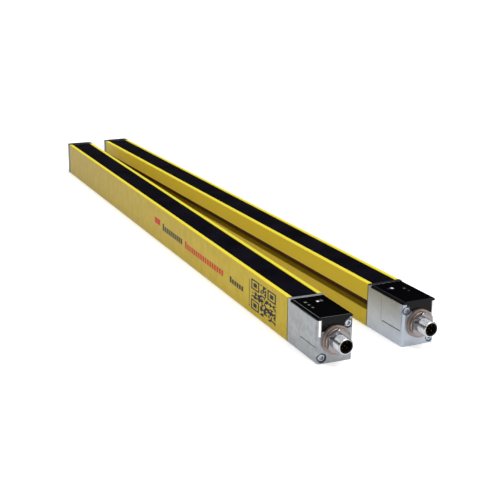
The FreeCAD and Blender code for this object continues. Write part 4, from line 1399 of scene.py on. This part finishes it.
@dataclass
class Studio:
    """Camera, light and floor.

    Args:
        position: the camera's place, metres.
        azimuth: turn of its view about the vertical, degrees.
        elevation: how far it looks down, degrees.
        roll: turn about its own view, degrees.
        lens: focal length, mm.
        ambient: light from all round.
        key: strength of the soft key light.
        key_spread: how wide that light looks from the object, degrees.
        key_from: direction that it comes from.
        bands: heights in the surroundings, 0 below to 1 above, and their brightness.
        wall_side: +y parts of a direction between which the dark wall begins.
        wall_top: upward parts of a direction between which it ends.
        wall_least: share of the light that it leaves.
        floor_reach: half the floor's width, metres.
        floor_drop: how far it lies under the object, metres.
        floor_lift: light that the floor adds to what it shows.
    """

    position: tuple[float, float, float] = (-0.3685, -0.9971, 0.3140)
    azimuth: float = -24.33
    elevation: float = 16.90
    roll: float = 0.66
    lens: float = 81.0
    ambient: float = 0.62
    key: float = 1.35
    key_spread: float = 35.0
    key_from: tuple[float, float, float] = (0.25, -0.5, 1.0)
    bands: tuple[tuple[float, float], ...] = (
        (0.5, 0.35), (0.55, 0.9), (0.62, 0.12), (0.74, 0.2), (0.82, 1.5),
    )
    wall_side: tuple[float, float] = (0.1, 0.6)
    wall_top: tuple[float, float] = (0.45, 0.75)
    wall_least: float = 0.04
    floor_reach: float = 15.0
    floor_drop: float = 0.0001
    floor_lift: float = 0.5

    def build(self) -> None:
        """Sets up the whole studio."""
        bpy.context.scene.view_settings.view_transform = "Standard"
        self.camera()
        self.world()
        self.sun()
        self.floor()

    def camera(self) -> None:
        """Places the camera, whose right, up and back axes follow from its three angles."""
        azimuth, elevation = math.radians(self.azimuth), math.radians(self.elevation)
        forward = Vector((
            -math.sin(azimuth) * math.cos(elevation),
            math.cos(azimuth) * math.cos(elevation),
            -math.sin(elevation),
        ))
        right = Vector((math.cos(azimuth), math.sin(azimuth), 0.0))
        turn = Matrix.Rotation(-math.radians(self.roll), 3, forward)
        right = turn @ right
        up = right.cross(forward)
        data = bpy.data.cameras.new("camera")
        data.lens = self.lens
        camera = add_object("camera", data)
        axes = Matrix((right, up, -forward)).transposed()
        camera.matrix_world = Matrix.Translation(self.position) @ axes.to_4x4()
        bpy.context.scene.camera = camera

    def world(self) -> None:
        """White surroundings, softer for diffuse light, with a dark far wall in reflections."""
        world = bpy.data.worlds.new("studio")
        tree = empty_tree(world)
        direction = add_node(tree, Kind.DIRECTION)
        height = add_node(tree, Kind.Z, direction)
        onward = add_node(tree, Kind.Y, direction)
        far = add_node(tree, Kind.RANGE, onward, *self.wall_side, 0.0, 1.0)
        low = add_node(tree, Kind.RANGE, height, *self.wall_top, 1.0, 0.0)
        wall = add_node(tree, Kind.MULTIPLY, far, low)
        shade = add_node(tree, Kind.RANGE, wall, 0.0, 1.0, 1.0, self.wall_least)
        bands = add_node(tree, Kind.BANDS, add_node(tree, Kind.RANGE, height, -1.0, 1.0, 0.0, 1.0))
        for position, level in self.bands:
            stop = bands.node.color_ramp.elements.new(position)
            stop.color = (level, level, level, 1.0)
        mirrored = add_node(tree, Kind.MULTIPLY, bands, shade)
        glossy, clear = add_node(tree, Kind.GLOSSY_RAY), add_node(tree, Kind.CLEAR_RAY)
        mirror = add_node(tree, Kind.GREATER, glossy, clear)
        seen = add_node(tree, Kind.CHOICE, mirror, self.ambient, mirrored)
        strength = add_node(tree, Kind.CHOICE, add_node(tree, Kind.CAMERA_RAY), seen, 1.0)
        sky = add_node(tree, Kind.SKY, linear("FFFFFF"), strength)
        add_node(tree, Kind.WORLD_OUTPUT, sky)
        bpy.context.scene.world = world

    def sun(self) -> None:
        """A broad key light from above, a little behind the camera."""
        data = bpy.data.lights.new("key", "SUN")
        data.energy = self.key
        data.angle = math.radians(self.key_spread)
        light = add_object("key", data)
        light.rotation_euler = Vector(self.key_from).to_track_quat("Z", "Y").to_euler()

    def floor(self) -> None:
        """White floor that keeps a faint shadow, and bounces a duller light than it shows."""
        sides = ((-1, -1), (1, -1), (1, 1), (-1, 1))
        corners = [(x * self.floor_reach, y * self.floor_reach, -self.floor_drop) for x, y in sides]
        mesh = bpy.data.meshes.new("floor")
        mesh.from_pydata(corners, [], [(0, 1, 2, 3)])
        floor = add_object("floor", mesh)
        made = bpy.data.materials.new("floor")
        tree = empty_tree(made)
        bounce = add_node(tree, Kind.MATT, linear("BCBCBC"))
        paper = add_node(tree, Kind.MATT, linear("F3F3F3"))
        lift = add_node(tree, Kind.LIGHT, linear("FFFFFF"), self.floor_lift)
        shown = add_node(tree, Kind.TOGETHER, paper, lift)
        camera, glossy = add_node(tree, Kind.CAMERA_RAY), add_node(tree, Kind.GLOSSY_RAY)
        direct = add_node(tree, Kind.GREATER, camera, glossy)
        add_node(tree, Kind.OUTPUT, add_node(tree, Kind.EITHER, direct, bounce, shown))
        mesh.materials.append(made)


# ---------------------------------------------------------------- assembly


def plain(box: tuple) -> list[list[float]]:
    """A box's two corners as plain lists."""
    return [[float(value) for value in corner] for corner in box]


def report(pieces: list[Object]) -> None:
    """Logs each piece with its number of faces."""
    for piece in pieces:
        LOG.info("%s: %d faces", piece.name, len(piece.data.polygons))


def main() -> None:
    """Dresses the frame, adds the fine pieces, and sets up the studio."""
    logging.basicConfig(level=logging.INFO)
    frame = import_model()
    record = frame["record"]
    slots = {part["node"]: part["material_slot"] for part in record["subparts"]}
    bars = {unit: BarFrame.read(unit, hand, record) for unit, hand in HANDS.items()}
    for bar in bars.values():
        palette = Palette(bar, {})
        report(Carcass(bar, palette, frame["nodes"], slots).dress())
        report(PlugConnector(bar, palette, ConnectorSizes()).build())
        report(CapScrews(bar, palette, ScrewSizes(), "cap_screws", -1).build())
        report(CapScrews(bar, palette, ScrewSizes(), "far_cap_screws", 1).build())
    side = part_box("receiver_housing_profile")[0][0] / MM
    report(SidePrint(bars[Unit.RECEIVER], side).build())
    Studio().build()


if __name__ == "__main__":
    main()
